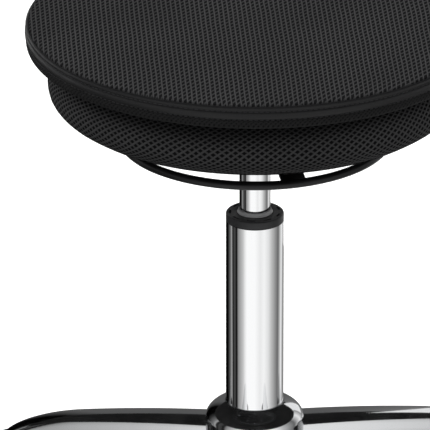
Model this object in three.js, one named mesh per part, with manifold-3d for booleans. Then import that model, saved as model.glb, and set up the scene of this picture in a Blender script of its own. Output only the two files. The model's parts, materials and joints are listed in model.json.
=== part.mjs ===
// Round two-tier drafting stool on a gas lift with a five-star base and twin-wheel casters.
// Millimetres, +Z up, floor at z = 0, lift axis on the Z axis, one arm of the base close to +Y.
import * as THREE from 'three';
import { mergeVertices } from 'three/addons/utils/BufferGeometryUtils.js';
import Module from 'manifold-3d';

const wasm = await Module();
wasm.setup();

// ---- clearances -----------------------------------------------------------------------
const GAP = 0.3; // between pieces that rest on or fit inside one another
const HOLE_GAP = 0.3; // radial, round screws, bolts, pins and stems
const FABRIC_GAP = 0.5; // between a cushion and the board next to it

// ---- casters --------------------------------------------------------------------------
const ARM_COUNT = 5;
const WHEEL_RADIUS = 25;
const WHEEL_WIDTH = 15;
const WHEEL_RECESS = 2.5;
const WHEEL_SIDE_GAP = 0.6;
const CASTER_TRAIL = 24;
const CASTER_WEB_INSET = 8; // the web's edge inside the wheels' tread
const HOOD_GAP = 1.3;
const HOOD_WALL = 2;
const HOOD_FRONT_DEG = 12;
const HOOD_REAR_DEG = 172;
const CASTER_BOSS_WALL = 1.7; // around the stem's bore
const CASTER_BOSS_RISE = 4.2;
const AXLE_RADIUS = 3;
const STEM_RADIUS = 5.5;
const STEM_COLLAR_LIP = 2.5;
const STEM_COLLAR = 2.8;
const STEM_IN_CASTER = 16;
const STEM_IN_ARM = 20;

// ---- star base ------------------------------------------------------------------------
const ARM_REACH = 245;
const FIRST_ARM_DEG = 91.3;
const ARM_ROOT_IN_HUB = 7.5;
const ARM_HALF_WIDTH_ROOT = 19;
const ARM_HALF_WIDTH_TIP = 14;
const ARM_END_HALF_WIDTH = 4;
const ARM_FALL = 0.077; // slope of an arm's top where it leaves the hub
const ARM_SAG = 0.00034; // how fast that slope grows, per millimetre
const ARM_NOSE_LENGTH = 80;
const ARM_NOSE_DROP = 27;
const ARM_STEPS = 10;
const ARM_BELOW_RIM = 3.2;
const ARM_ABOVE_HUB_FOOT = 8;
const TIP_BOSS_WALL = 7.2; // around the stem's bore
const TIP_BOSS_HEIGHT = 24;
const HUB_ABOVE_TIP = 16;
const HUB_WALL = 18.3; // from the column to the hub's outside
const HUB_HEIGHT = 51.7; // up to where the dome starts
const HUB_DOME_RISE = 20.4; // the dome's height if it went on to the axis
const HUB_DOME_STEPS = 8;
const HUB_FOOT_CHAMFER = 4;

// ---- gas lift -------------------------------------------------------------------------
const COLUMN_OVER_TUBE = 12; // the column's radius less the pressure tube's
const COLUMN_TAPER = 1.4; // radius lost between the hub's mouth and the column's foot
const COLUMN_WALL = 2;
const COLUMN_LENGTH = 244;
const COLUMN_FLOOR = 3;
const CAP_HEIGHT = 7.2;
const CAP_CHAMFER = 0.9;
const CAP_SLOTS = 9;
const CAP_SLOT = { length: 7.6, width: 2, depth: 2, inset: 3.6, startDeg: 30.7 };
const SLEEVE_LENGTH = 80;
const WIPER_WALL = 1.6;
const WIPER_HEIGHT = 3.2;
const TUBE_RADIUS = 14;
const TUBE_WALL = 2;
const TUBE_FOOT_CLEARANCE = 1.4; // left under the tube when the seat is at its lowest
const TUBE_CONE_LOSS = 0.8;
const TUBE_HEAD = 31; // solid head above the gas chamber
const VALVE_BORE_DEPTH = 25;
const LIFT_EXTENSION = 54.5; // bare tube between the cap and the socket at rest
const LIFT_DOWN = 40;
const LIFT_UP = 100;
const ROD_RADIUS = 5;
const ROD_BELOW_COLUMN = 4.5;
const BEARING_WALL = 7.7;
const BEARING_HEIGHT = 6;
const WASHER_HEIGHT = 2;
const CLIP_WALL = 3.7;
const CLIP_HEIGHT = 2.4;
const GLAND_HEIGHT = 11.5;
const PISTON_HEIGHT = 12;

// ---- release ring and the cage it works in --------------------------------------------
const MECHANISM_DEG = -82; // direction of the first spoke
const SPOKE_COUNT = 3;
const SOCKET_WALL = 7.7; // around the tube's cone
const SOCKET_LENGTH = 31.7;
const CAGE_PLATE = 3;
const CAGE_PLATE_LIP = 4; // beyond the socket
const CAGE_LOBE_HALF_WIDTH = 7;
const POST_RADIUS = 5;
const POST_BEYOND_PLATE = 14;
const POST_FROM_SPOKE_DEG = 88; // clear of the spokes on both sides
const TUBE_ABOVE_PLATE = 3;
const BUTTON_RADIUS = 4;
const BUTTON_RISE = 3.9;
const BUTTON_DEPTH = 21;
const DISC_POST_GAP = 5;
const DISC_THICKNESS = 3;
const DISC_HEAD_GAP = 0.5;
const RING_RADIUS = 119.5;
const RING_ROD_RADIUS = 4;
const RING_DROP = 23.7;
const SPOKE_THICKNESS = 3;
const SPOKE_HALF_WIDTH = 11;
const SPOKE_OFFSET = 18.2; // sideways from the lift's axis, all three the same way round
const SPOKE_FLAT_LENGTH = 29.5; // from the hoop's rod inwards to the crank
const SPOKE_ROOT = 6; // where a spoke starts on the disc

// ---- seat -----------------------------------------------------------------------------
const MOUNT_PLATE = 4;
const MOUNT_PLATE_HALF = 66;
const MOUNT_PLATE_CORNER = 12;
const SCREW_RADIUS = 2.5;
const SCREW_HEAD_RADIUS = 5;
const SCREW_HEAD = 3;
const SCREW_BITE = 9;
const LOWER_BOARD_INSET = 27.6; // inside the lower cushion's widest point
const LOWER_BOARD = 12;
const LOWER_CUSHION_INSET = 15.2; // inside the top pad's rim
const LOWER_CUSHION_HEIGHT = 51.2;
const TOP_BOARD_INSET = 14.8; // inside the top pad's rim
const TOP_BOARD = 4.7;
const TIE_BOLTS = 3;
const TIE_BOLT_SHARE = 0.75; // of the lower board's radius
const TIE_BOLT_RADIUS = 3;
const TIE_BOLT_HEAD_RADIUS = 6;
const TIE_BOLT_HEAD = 3;
const TIE_BOLT_BITE = 3;
const PAD_HEIGHT = 25;
const PAD_RADIUS = 202.8;
const PAD_TOP_INSET = 2.8;
const PAD_LIP_INSET = 1.2; // of the pad's top edge, where it lies over the band
const PAD_FLAT_SHARE = 0.59; // of the pad's radius
const PAD_CROWN = 1.7;
const BAND_WALL = 4.6;
const BAND_PROUD = 1.7;
const BAND_HEIGHT = 11;
const BAND_BOTTOM = 9.4; // above the pad's underside

// ---- facets ---------------------------------------------------------------------------
const SEAT_FACETS = 48;
const TUBE_FACETS = 32;
const WHEEL_FACETS = 20;
const PIN_FACETS = 12;

// ---- radii and widths that follow from the sizes --------------------------------------
const stemCollarRadius = STEM_RADIUS + STEM_COLLAR_LIP;
const casterBossRadius = STEM_RADIUS + HOLE_GAP + CASTER_BOSS_WALL;
const casterWeb = 2 * casterBossRadius;
const casterWebRadius = WHEEL_RADIUS - CASTER_WEB_INSET;
const tipBossRadius = STEM_RADIUS + HOLE_GAP + TIP_BOSS_WALL;
const stemCircle = ARM_REACH - ARM_HALF_WIDTH_TIP - 1;
const columnRadius = TUBE_RADIUS + COLUMN_OVER_TUBE;
const columnFootRadius = columnRadius - COLUMN_TAPER;
const columnBore = columnRadius - COLUMN_WALL;
const hubRadius = columnRadius + HUB_WALL;
const domeEnd = Math.acos((columnRadius + 0.8) / hubRadius); // the dome's angle at its mouth
const armRoot = hubRadius - ARM_ROOT_IN_HUB;
const bearingRadius = ROD_RADIUS + HOLE_GAP + BEARING_WALL;
const clipRadius = ROD_RADIUS + HOLE_GAP + CLIP_WALL;
const socketRadius = TUBE_RADIUS + GAP + SOCKET_WALL;
const cagePlateRadius = socketRadius + CAGE_PLATE_LIP;
const postCircle = cagePlateRadius + POST_BEYOND_PLATE;
const discRadius = postCircle - POST_RADIUS - DISC_POST_GAP;
const screwOffset = MOUNT_PLATE_HALF - MOUNT_PLATE_CORNER;
const lowerCushionRadius = PAD_RADIUS - LOWER_CUSHION_INSET;
const lowerBoardRadius = lowerCushionRadius - LOWER_BOARD_INSET;
const topBoardRadius = PAD_RADIUS - TOP_BOARD_INSET;
const tieBoltCircle = TIE_BOLT_SHARE * lowerBoardRadius;

// ---- heights that follow from the sizes -----------------------------------------------
const axleZ = WHEEL_RADIUS;
const hoodInner = WHEEL_RADIUS + HOOD_GAP;
const hoodOuter = hoodInner + HOOD_WALL;
const casterTopZ = axleZ + hoodOuter + CASTER_BOSS_RISE;
const tipUndersideZ = casterTopZ + GAP + STEM_COLLAR + GAP;
const hubBottomZ = tipUndersideZ + HUB_ABOVE_TIP;
const hubRimZ = hubBottomZ + HUB_HEIGHT;
const armRootTopZ = hubRimZ - ARM_BELOW_RIM;
const hubTopZ = hubRimZ + HUB_DOME_RISE * Math.sin(domeEnd);
const columnTopZ = hubBottomZ + COLUMN_LENGTH;
const columnFloorZ = hubBottomZ + COLUMN_FLOOR;
const bearingTopZ = columnFloorZ + GAP + BEARING_HEIGHT;
const washerTopZ = bearingTopZ + GAP + WASHER_HEIGHT;
const capTopZ = columnTopZ + GAP + CAP_HEIGHT;
const socketBottomZ = capTopZ + LIFT_EXTENSION;
const socketTopZ = socketBottomZ + SOCKET_LENGTH;
const cageBottomZ = socketTopZ + GAP;
const cageTopZ = cageBottomZ + CAGE_PLATE;
const tubeTopZ = cageTopZ + TUBE_ABOVE_PLATE;
const tubeBottomZ = washerTopZ + LIFT_DOWN + TUBE_FOOT_CLEARANCE;
const glandTopZ = tubeBottomZ + GAP + GLAND_HEIGHT;
const pistonBottomZ = glandTopZ + LIFT_UP + GAP;
const buttonTopZ = tubeTopZ + BUTTON_RISE;
const discBottomZ = buttonTopZ + GAP;
const discTopZ = discBottomZ + DISC_THICKNESS;
const ringZ = discTopZ - DISC_THICKNESS / 2 - RING_DROP;
const mountBottomZ = discTopZ + DISC_HEAD_GAP;
const mountTopZ = mountBottomZ + MOUNT_PLATE;
const lowerBoardZ = mountTopZ + GAP;
const lowerBoardTopZ = lowerBoardZ + LOWER_BOARD;
const lowerCushionTopZ = lowerBoardZ + GAP + LOWER_CUSHION_HEIGHT;
const topBoardZ = lowerCushionTopZ + FABRIC_GAP;
const topBoardTopZ = topBoardZ + TOP_BOARD;
const padBottomZ = topBoardTopZ + GAP;
const padTopZ = padBottomZ + PAD_HEIGHT;

// ---- finishes -------------------------------------------------------------------------
const finish = (color, roughness, metalness) => ({ color, roughness, metalness });
const MESH_FABRIC = finish(0x2b2b2c, 0.9, 0);
const VINYL = finish(0x1e1e1f, 0.45, 0);
const PLYWOOD = finish(0xb08a5a, 0.7, 0);
const BLACK_BOARD = finish(0x18181a, 0.7, 0);
const BLACK_STEEL = finish(0x161617, 0.45, 0.3);
const ZINC_STEEL = finish(0x9a9da1, 0.4, 1);
const CHROME = finish(0xdfe1e4, 0.08, 1);
const POLISHED_ALUMINIUM = finish(0xd2d4d7, 0.15, 1);
const BLACK_PLASTIC = finish(0x1a1a1b, 0.5, 0);
const GREY_PLASTIC = finish(0x9c9ea1, 0.5, 0);
const WHITE_NYLON = finish(0xd8d8d2, 0.5, 0);
const TYRE_BLACK = finish(0x202021, 0.6, 0);

// ---- geometry helpers -----------------------------------------------------------------
const radians = (degrees) => THREE.MathUtils.degToRad(degrees);

// Solid of revolution about Z from [radius, z] points, walked outwards and upwards.
function turned(profile, facets = TUBE_FACETS) {
  const points = profile.map(([radius, z]) => new THREE.Vector2(radius, z));
  return new THREE.LatheGeometry(points, facets).rotateX(Math.PI / 2);
}

// Ring of revolution: the profile closes on itself.
function ring(profile, facets = TUBE_FACETS) {
  return turned([...profile, profile[0]], facets);
}

function sleeve(inner, outer, bottom, top, facets = TUBE_FACETS) {
  return ring([[inner, bottom], [outer, bottom], [outer, top], [inner, top]], facets);
}

function rod(radius, bottom, top, facets = PIN_FACETS) {
  return turned([[0, bottom], [radius, bottom], [radius, top], [0, top]], facets);
}

// Flat plate of a shape in the XY plane between two heights.
function plate(shape, bottom, top) {
  const options = { depth: top - bottom, bevelEnabled: false, curveSegments: 6 };
  return new THREE.ExtrudeGeometry(shape, options).translate(0, 0, bottom);
}

function toSolid(geometry) {
  const bare = geometry.clone();
  bare.deleteAttribute('normal');
  bare.deleteAttribute('uv');
  const merged = mergeVertices(bare, 1e-4);
  const corners = Array.from(merged.index.array);
  const triangles = [];
  for (let i = 0; i < corners.length; i += 3) {
    const [a, b, c] = corners.slice(i, i + 3);
    if (a !== b && b !== c && c !== a) triangles.push(a, b, c);
  }
  const mesh = new wasm.Mesh({
    numProp: 3,
    vertProperties: new Float32Array(merged.attributes.position.array),
    triVerts: new Uint32Array(triangles),
  });
  return new wasm.Manifold(mesh);
}

function toGeometry(solid) {
  const mesh = solid.getMesh();
  const geometry = new THREE.BufferGeometry();
  geometry.setAttribute('position', new THREE.BufferAttribute(mesh.vertProperties, 3));
  geometry.setIndex(new THREE.BufferAttribute(mesh.triVerts, 1));
  geometry.computeVertexNormals();
  return geometry;
}

function joined(geometries) {
  return toGeometry(geometries.map(toSolid).reduce((whole, piece) => whole.add(piece)));
}

function cut(geometry, tools) {
  return toGeometry(tools.map(toSolid).reduce((rest, tool) => rest.subtract(tool), toSolid(geometry)));
}

function piece(name, geometry, look) {
  const mesh = new THREE.Mesh(geometry, new THREE.MeshStandardMaterial(look));
  mesh.name = name;
  return mesh;
}

// Point at a distance and a direction from the lift axis.
const around = (radius, degrees) => [
  radius * Math.cos(radians(degrees)),
  radius * Math.sin(radians(degrees)),
];

// ---- star base ------------------------------------------------------------------------
const armTopZ = (s) => {
  const out = s - hubRadius;
  const line = armRootTopZ - ARM_FALL * out - ARM_SAG * out * out;
  const nose = Math.max(0, s - (ARM_REACH - ARM_NOSE_LENGTH)) / ARM_NOSE_LENGTH;
  return line - ARM_NOSE_DROP * (1 - Math.sqrt(Math.max(0, 1 - nose * nose)));
};

const armBottomZ = (s) => {
  const share = (s - armRoot) / (ARM_REACH - armRoot);
  return THREE.MathUtils.lerp(hubBottomZ + ARM_ABOVE_HUB_FOOT, tipUndersideZ, share ** 0.8);
};

// The arm narrows evenly and ends in a half round about the caster's stem.
const armHalfWidth = (s) => {
  const share = (s - armRoot) / (ARM_REACH - armRoot);
  const straight = THREE.MathUtils.lerp(ARM_HALF_WIDTH_ROOT, ARM_HALF_WIDTH_TIP, share);
  const endCentre = ARM_REACH - ARM_HALF_WIDTH_TIP;
  const past = Math.min(1, Math.max(0, s - endCentre) / ARM_HALF_WIDTH_TIP);
  return Math.max(ARM_END_HALF_WIDTH, straight * Math.sqrt(1 - past * past));
};

// Channel section: domed top, nearly upright sides, hollow below. Width -1..1, height 0..1.
function armSection() {
  const outline = new THREE.Shape();
  outline.moveTo(1, 0);
  outline.lineTo(0.97, 0.62);
  outline.quadraticCurveTo(0.95, 0.92, 0.6, 0.96);
  outline.quadraticCurveTo(0, 1.03, -0.6, 0.96);
  outline.quadraticCurveTo(-0.95, 0.92, -0.97, 0.62);
  outline.lineTo(-1, 0);
  outline.lineTo(-0.74, 0);
  outline.lineTo(-0.64, 0.56);
  outline.lineTo(-0.4, 0.68);
  outline.lineTo(0.4, 0.68);
  outline.lineTo(0.64, 0.56);
  outline.lineTo(0.74, 0);
  outline.closePath();
  return outline;
}

function armGeometry(degrees) {
  const options = { depth: 1, steps: ARM_STEPS, bevelEnabled: false, curveSegments: 2 };
  const arm = new THREE.ExtrudeGeometry(armSection(), options);
  const position = arm.attributes.position;
  for (let i = 0; i < position.count; i += 1) {
    const share = Math.sin(position.getZ(i) * Math.PI / 2);
    const s = THREE.MathUtils.lerp(armRoot, ARM_REACH, share);
    const bottom = armBottomZ(s);
    const z = bottom + position.getY(i) * (armTopZ(s) - bottom);
    position.setXYZ(i, s, position.getX(i) * armHalfWidth(s), z);
  }
  return arm.rotateZ(radians(degrees));
}

const armAngles = Array.from({ length: ARM_COUNT }, (_, i) => FIRST_ARM_DEG + i * 360 / ARM_COUNT);

function hubGeometry() {
  const dome = Array.from({ length: HUB_DOME_STEPS + 1 }, (_, i) => {
    const angle = domeEnd * i / HUB_DOME_STEPS;
    return [hubRadius * Math.cos(angle), hubRimZ + HUB_DOME_RISE * Math.sin(angle)];
  });
  return ring([
    [columnFootRadius + GAP, hubBottomZ],
    [hubRadius - HUB_FOOT_CHAMFER, hubBottomZ],
    [hubRadius, hubBottomZ + HUB_FOOT_CHAMFER],
    ...dome,
    [columnRadius + GAP, hubTopZ],
  ]);
}

// Round socket at an arm's end, from its underside up into the arm.
function tipBoss(x, y) {
  const top = Math.min(tipUndersideZ + TIP_BOSS_HEIGHT, armTopZ(stemCircle) - 2);
  return rod(tipBossRadius, tipUndersideZ, top, WHEEL_FACETS).translate(x, y, 0);
}

function starBase() {
  const socketTop = tipUndersideZ + STEM_IN_ARM + GAP;
  const bosses = armAngles.map((degrees) => tipBoss(...around(stemCircle, degrees)));
  const bores = armAngles.map((degrees) => {
    const bore = rod(STEM_RADIUS + HOLE_GAP, tipUndersideZ - 5, socketTop, PIN_FACETS);
    return bore.translate(...around(stemCircle, degrees), 0);
  });
  const body = joined([hubGeometry(), ...armAngles.map(armGeometry), ...bosses]);
  return piece('star_base', cut(body, bores), POLISHED_ALUMINIUM);
}

// ---- casters --------------------------------------------------------------------------
// Each caster is drawn about its stem's axis with the wheels trailing towards -Y.
const wheelStart = casterWeb / 2 + WHEEL_SIDE_GAP;
const wheelEnd = wheelStart + WHEEL_WIDTH;

// Turns a shape drawn in the (y, z) plane into a slab centred on x = 0.
function slab(shape, width) {
  const options = { depth: width, bevelEnabled: false, curveSegments: 6 };
  const block = new THREE.ExtrudeGeometry(shape, options).translate(0, 0, -width / 2);
  return block.rotateX(Math.PI / 2).rotateZ(Math.PI / 2);
}

function casterBody() {
  const web = new THREE.Shape();
  web.absarc(-CASTER_TRAIL, axleZ, casterWebRadius, radians(150), radians(330), false);
  web.lineTo(casterBossRadius - 1, axleZ + 8);
  web.lineTo(casterBossRadius - 1, casterTopZ - CASTER_BOSS_RISE);
  web.lineTo(-CASTER_TRAIL, axleZ + hoodInner + 1);
  web.closePath();
  const hood = new THREE.Shape();
  hood.absarc(-CASTER_TRAIL, axleZ, hoodOuter, radians(HOOD_FRONT_DEG), radians(HOOD_REAR_DEG), false);
  hood.absarc(-CASTER_TRAIL, axleZ, hoodInner, radians(HOOD_REAR_DEG), radians(HOOD_FRONT_DEG), true);
  hood.closePath();
  const hoodWidth = 2 * (wheelEnd + 0.8);
  const bossBottom = casterTopZ - STEM_IN_CASTER - 4;
  const boss = rod(casterBossRadius, bossBottom, casterTopZ);
  const stemBore = rod(STEM_RADIUS + HOLE_GAP, casterTopZ - STEM_IN_CASTER - GAP, casterTopZ + 1);
  const axleBore = rod(AXLE_RADIUS + HOLE_GAP, -casterWeb, casterWeb).rotateY(Math.PI / 2);
  axleBore.translate(0, -CASTER_TRAIL, axleZ);
  return cut(joined([slab(web, casterWeb), slab(hood, hoodWidth), boss]), [stemBore, axleBore]);
}

function casterStem() {
  const collarBottom = casterTopZ + GAP;
  return turned([
    [0, casterTopZ - STEM_IN_CASTER],
    [STEM_RADIUS, casterTopZ - STEM_IN_CASTER],
    [STEM_RADIUS, collarBottom],
    [stemCollarRadius, collarBottom],
    [stemCollarRadius, collarBottom + STEM_COLLAR],
    [STEM_RADIUS, collarBottom + STEM_COLLAR],
    [STEM_RADIUS, tipUndersideZ + STEM_IN_ARM - 1],
    [STEM_RADIUS - 1, tipUndersideZ + STEM_IN_ARM],
    [0, tipUndersideZ + STEM_IN_ARM],
  ], PIN_FACETS);
}

// side is 1 for the wheel on +X, -1 for the one on -X.
function casterWheel(side) {
  const face = wheelEnd - WHEEL_RECESS;
  const wheel = ring([
    [AXLE_RADIUS + HOLE_GAP, wheelStart],
    [WHEEL_RADIUS - 1.5, wheelStart],
    [WHEEL_RADIUS, wheelStart + 1.5],
    [WHEEL_RADIUS, wheelEnd - 1.5],
    [WHEEL_RADIUS - 1.5, wheelEnd],
    [WHEEL_RADIUS - 5, wheelEnd],
    [WHEEL_RADIUS - 6.5, face],
    [AXLE_RADIUS + HOLE_GAP, face],
  ], WHEEL_FACETS);
  return wheel.rotateY(side * Math.PI / 2).translate(0, -CASTER_TRAIL, axleZ);
}

function casterAxle() {
  const half = wheelEnd - WHEEL_RECESS - GAP;
  return rod(AXLE_RADIUS, -half, half).rotateY(Math.PI / 2).translate(0, -CASTER_TRAIL, axleZ);
}

function caster(number, degrees) {
  const name = (part) => `caster_${number}_${part}`;
  const group = new THREE.Group();
  group.add(piece(name('stem'), casterStem(), ZINC_STEEL));
  group.add(piece(name('body'), casterBody(), BLACK_PLASTIC));
  group.add(piece(name('axle'), casterAxle(), ZINC_STEEL));
  group.add(piece(name('wheel_right'), casterWheel(1), TYRE_BLACK));
  group.add(piece(name('wheel_left'), casterWheel(-1), TYRE_BLACK));
  group.position.set(...around(stemCircle, degrees), 0);
  return group;
}

// ---- gas lift -------------------------------------------------------------------------
// Chromed outer column: closed at its foot but for the rod's hole, tapered inside the hub.
function columnTube() {
  return piece('column_tube', ring([
    [ROD_RADIUS + HOLE_GAP, hubBottomZ],
    [columnFootRadius, hubBottomZ],
    [columnRadius, hubTopZ],
    [columnRadius, columnTopZ],
    [columnBore, columnTopZ],
    [columnBore, hubTopZ],
    [columnFootRadius - COLUMN_WALL, columnFloorZ],
    [ROD_RADIUS + HOLE_GAP, columnFloorZ],
  ]), CHROME);
}

function guideSleeve() {
  const top = columnTopZ - 1;
  const shape = sleeve(TUBE_RADIUS + GAP, columnBore - GAP, top - SLEEVE_LENGTH, top);
  return piece('guide_sleeve', shape, WHITE_NYLON);
}

function guideCap() {
  const bottom = columnTopZ + GAP;
  const body = ring([
    [TUBE_RADIUS + GAP, bottom],
    [columnRadius, bottom],
    [columnRadius, capTopZ - CAP_CHAMFER],
    [columnRadius - CAP_CHAMFER, capTopZ],
    [TUBE_RADIUS + GAP, capTopZ],
  ]);
  const slots = Array.from({ length: CAP_SLOTS }, (_, i) => {
    const box = new THREE.BoxGeometry(CAP_SLOT.width, CAP_SLOT.length, 2 * CAP_SLOT.depth);
    const turn = radians(CAP_SLOT.startDeg - 90 + i * 360 / CAP_SLOTS);
    return box.translate(columnRadius - CAP_SLOT.inset, 0, capTopZ).rotateZ(turn);
  });
  return piece('guide_cap', cut(body, slots), BLACK_PLASTIC);
}

function wiperRing() {
  const inner = TUBE_RADIUS + GAP;
  const bottom = capTopZ + GAP;
  const shape = sleeve(inner, inner + WIPER_WALL, bottom, bottom + WIPER_HEIGHT);
  return piece('wiper_ring', shape, GREY_PLASTIC);
}

const coneRadius = (z) => {
  const share = Math.max(0, z - socketBottomZ) / (tubeTopZ - socketBottomZ);
  return TUBE_RADIUS - TUBE_CONE_LOSS * share;
};

// Pressure tube: gas chamber open at the foot, solid coned head with the valve's bore.
function pressureTube() {
  const bore = TUBE_RADIUS - TUBE_WALL;
  const valveBore = BUTTON_RADIUS + HOLE_GAP;
  return piece('pressure_tube', turned([
    [0, tubeTopZ - TUBE_HEAD],
    [bore, tubeTopZ - TUBE_HEAD],
    [bore, tubeBottomZ],
    [TUBE_RADIUS, tubeBottomZ],
    [TUBE_RADIUS, socketBottomZ],
    [coneRadius(tubeTopZ), tubeTopZ],
    [valveBore, tubeTopZ],
    [valveBore, tubeTopZ - VALVE_BORE_DEPTH],
    [0, tubeTopZ - VALVE_BORE_DEPTH],
  ]), CHROME);
}

function rodGland() {
  const outer = TUBE_RADIUS - TUBE_WALL - GAP;
  const shape = sleeve(ROD_RADIUS + HOLE_GAP, outer, tubeBottomZ + GAP, glandTopZ);
  return piece('rod_gland', shape, BLACK_PLASTIC);
}

function pistonRod() {
  const bottom = hubBottomZ - ROD_BELOW_COLUMN;
  return piece('piston_rod', rod(ROD_RADIUS, bottom, pistonBottomZ - GAP, 20), CHROME);
}

function piston() {
  const shape = rod(TUBE_RADIUS - TUBE_WALL - GAP, pistonBottomZ, pistonBottomZ + PISTON_HEIGHT, 24);
  return piece('piston', shape, ZINC_STEEL);
}

function thrustBearing() {
  const shape = sleeve(ROD_RADIUS + HOLE_GAP, bearingRadius, columnFloorZ + GAP, bearingTopZ, 24);
  return piece('thrust_bearing', shape, ZINC_STEEL);
}

function rodWasher() {
  const bottom = bearingTopZ + GAP;
  const shape = sleeve(ROD_RADIUS + HOLE_GAP, bearingRadius - 1, bottom, washerTopZ, 20);
  return piece('rod_washer', shape, ZINC_STEEL);
}

function rodClip() {
  const top = hubBottomZ - GAP;
  const shape = sleeve(ROD_RADIUS + HOLE_GAP, clipRadius, top - CLIP_HEIGHT, top, 16);
  return piece('rod_clip', shape, ZINC_STEEL);
}

// ---- release ring and its cage --------------------------------------------------------
const spokeAngles = Array.from({ length: SPOKE_COUNT }, (_, i) => MECHANISM_DEG + i * 360 / SPOKE_COUNT);
const postAngles = spokeAngles.map((degrees) => degrees + POST_FROM_SPOKE_DEG);

function taperSocket() {
  return piece('taper_socket', ring([
    [coneRadius(socketBottomZ) + GAP, socketBottomZ],
    [socketRadius - 1, socketBottomZ],
    [socketRadius, socketBottomZ + 1],
    [socketRadius, socketTopZ],
    [coneRadius(socketTopZ) + GAP, socketTopZ],
  ]), BLACK_STEEL);
}

// Three-lobed plate welded on the socket; each lobe carries one post.
function cagePlate() {
  const disc = rod(cagePlateRadius, cageBottomZ, cageTopZ, TUBE_FACETS);
  const lobes = postAngles.map((degrees) => {
    const shape = new THREE.Shape();
    shape.moveTo(cagePlateRadius / 2, -CAGE_LOBE_HALF_WIDTH);
    shape.lineTo(postCircle, -CAGE_LOBE_HALF_WIDTH);
    shape.absarc(postCircle, 0, CAGE_LOBE_HALF_WIDTH, -Math.PI / 2, Math.PI / 2, false);
    shape.lineTo(cagePlateRadius / 2, CAGE_LOBE_HALF_WIDTH);
    shape.closePath();
    return plate(shape, cageBottomZ, cageTopZ).rotateZ(radians(degrees));
  });
  const bore = rod(coneRadius(cageBottomZ) + GAP, cageBottomZ - 1, cageTopZ + 1, TUBE_FACETS);
  return piece('cage_plate', cut(joined([disc, ...lobes]), [bore]), BLACK_STEEL);
}

function cagePosts() {
  return postAngles.map((degrees, i) => {
    const post = rod(POST_RADIUS, cageTopZ + GAP, mountBottomZ - GAP);
    return piece(`cage_post_${i + 1}`, post.translate(...around(postCircle, degrees), 0), ZINC_STEEL);
  });
}

// Flat strip from the hoop inwards, then cranked up to the disc above the valve button.
function spoke(degrees) {
  const half = SPOKE_THICKNESS / 2;
  const discZ = discTopZ - half;
  const bend = discRadius - 2;
  const flat = RING_RADIUS - SPOKE_FLAT_LENGTH;
  const end = Math.sqrt(RING_RADIUS ** 2 - SPOKE_OFFSET ** 2);
  const strip = new THREE.Shape();
  strip.moveTo(SPOKE_ROOT, discZ - half);
  strip.lineTo(bend, discZ - half);
  strip.lineTo(flat, ringZ - half);
  strip.lineTo(end, ringZ - half);
  strip.lineTo(end, ringZ + half);
  strip.lineTo(flat, ringZ + half);
  strip.lineTo(bend, discZ + half);
  strip.lineTo(SPOKE_ROOT, discZ + half);
  strip.closePath();
  return slab(strip, 2 * SPOKE_HALF_WIDTH)
    .rotateZ(-Math.PI / 2)
    .translate(0, SPOKE_OFFSET, 0)
    .rotateZ(radians(degrees));
}

function releaseRing() {
  const section = Array.from({ length: 8 }, (_, i) => {
    const turn = radians(22.5 + i * 45);
    return [RING_RADIUS + RING_ROD_RADIUS * Math.cos(turn), ringZ + RING_ROD_RADIUS * Math.sin(turn)];
  });
  const hoop = ring(section, SEAT_FACETS);
  const disc = rod(discRadius, discBottomZ, discTopZ, TUBE_FACETS);
  return piece('release_ring', joined([hoop, disc, ...spokeAngles.map(spoke)]), BLACK_STEEL);
}

function releaseButton() {
  const shape = turned([
    [0, buttonTopZ - BUTTON_DEPTH],
    [BUTTON_RADIUS, buttonTopZ - BUTTON_DEPTH],
    [BUTTON_RADIUS, buttonTopZ - 1],
    [BUTTON_RADIUS - 1.2, buttonTopZ],
    [0, buttonTopZ],
  ], PIN_FACETS);
  return piece('release_button', shape, ZINC_STEEL);
}

// ---- seat -----------------------------------------------------------------------------
const quadrants = [[1, 1], [-1, 1], [-1, -1], [1, -1]];
const screwPlaces = quadrants.map(([x, y]) => [x * screwOffset, y * screwOffset]);
const boltAngles = Array.from({ length: TIE_BOLTS }, (_, i) => 30 + i * 360 / TIE_BOLTS);
const boltPlaces = boltAngles.map((degrees) => around(tieBoltCircle, degrees));

function holes(places, radius, bottom, top) {
  return places.map(([x, y]) => rod(radius, bottom, top).translate(x, y, 0));
}

function mountPlate() {
  const half = MOUNT_PLATE_HALF;
  const corner = MOUNT_PLATE_CORNER;
  const shape = new THREE.Shape();
  quadrants.forEach(([x, y], i) => {
    const start = i * Math.PI / 2;
    shape.absarc(x * (half - corner), y * (half - corner), corner, start, start + Math.PI / 2, false);
  });
  shape.closePath();
  const bores = holes(screwPlaces, SCREW_RADIUS + HOLE_GAP, mountBottomZ - 1, mountTopZ + 1);
  return piece('mount_plate', cut(plate(shape, mountBottomZ, mountTopZ), bores), BLACK_STEEL);
}

// Pan-head fastener pointing up: its head is under headZ, its shank ends at tipZ.
function fastener(headZ, tipZ, shank, headRadius, head) {
  return turned([
    [0, headZ - head],
    [headRadius - 1, headZ - head],
    [headRadius, headZ - head + 1],
    [headRadius, headZ],
    [shank, headZ],
    [shank, tipZ],
    [0, tipZ],
  ], PIN_FACETS);
}

function plateScrews() {
  const tip = lowerBoardZ + SCREW_BITE;
  return screwPlaces.map(([x, y], i) => {
    const shape = fastener(mountBottomZ - GAP, tip, SCREW_RADIUS, SCREW_HEAD_RADIUS, SCREW_HEAD);
    return piece(`plate_screw_${i + 1}`, shape.translate(x, y, 0), ZINC_STEEL);
  });
}

function lowerBoard() {
  const bores = [
    ...holes(screwPlaces, SCREW_RADIUS + HOLE_GAP, lowerBoardZ - 1, lowerBoardZ + SCREW_BITE + GAP),
    ...holes(boltPlaces, TIE_BOLT_RADIUS + HOLE_GAP, lowerBoardZ - 1, lowerBoardTopZ + 1),
  ];
  const disc = rod(lowerBoardRadius, lowerBoardZ, lowerBoardTopZ, SEAT_FACETS);
  return piece('lower_board', cut(disc, bores), PLYWOOD);
}

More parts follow.
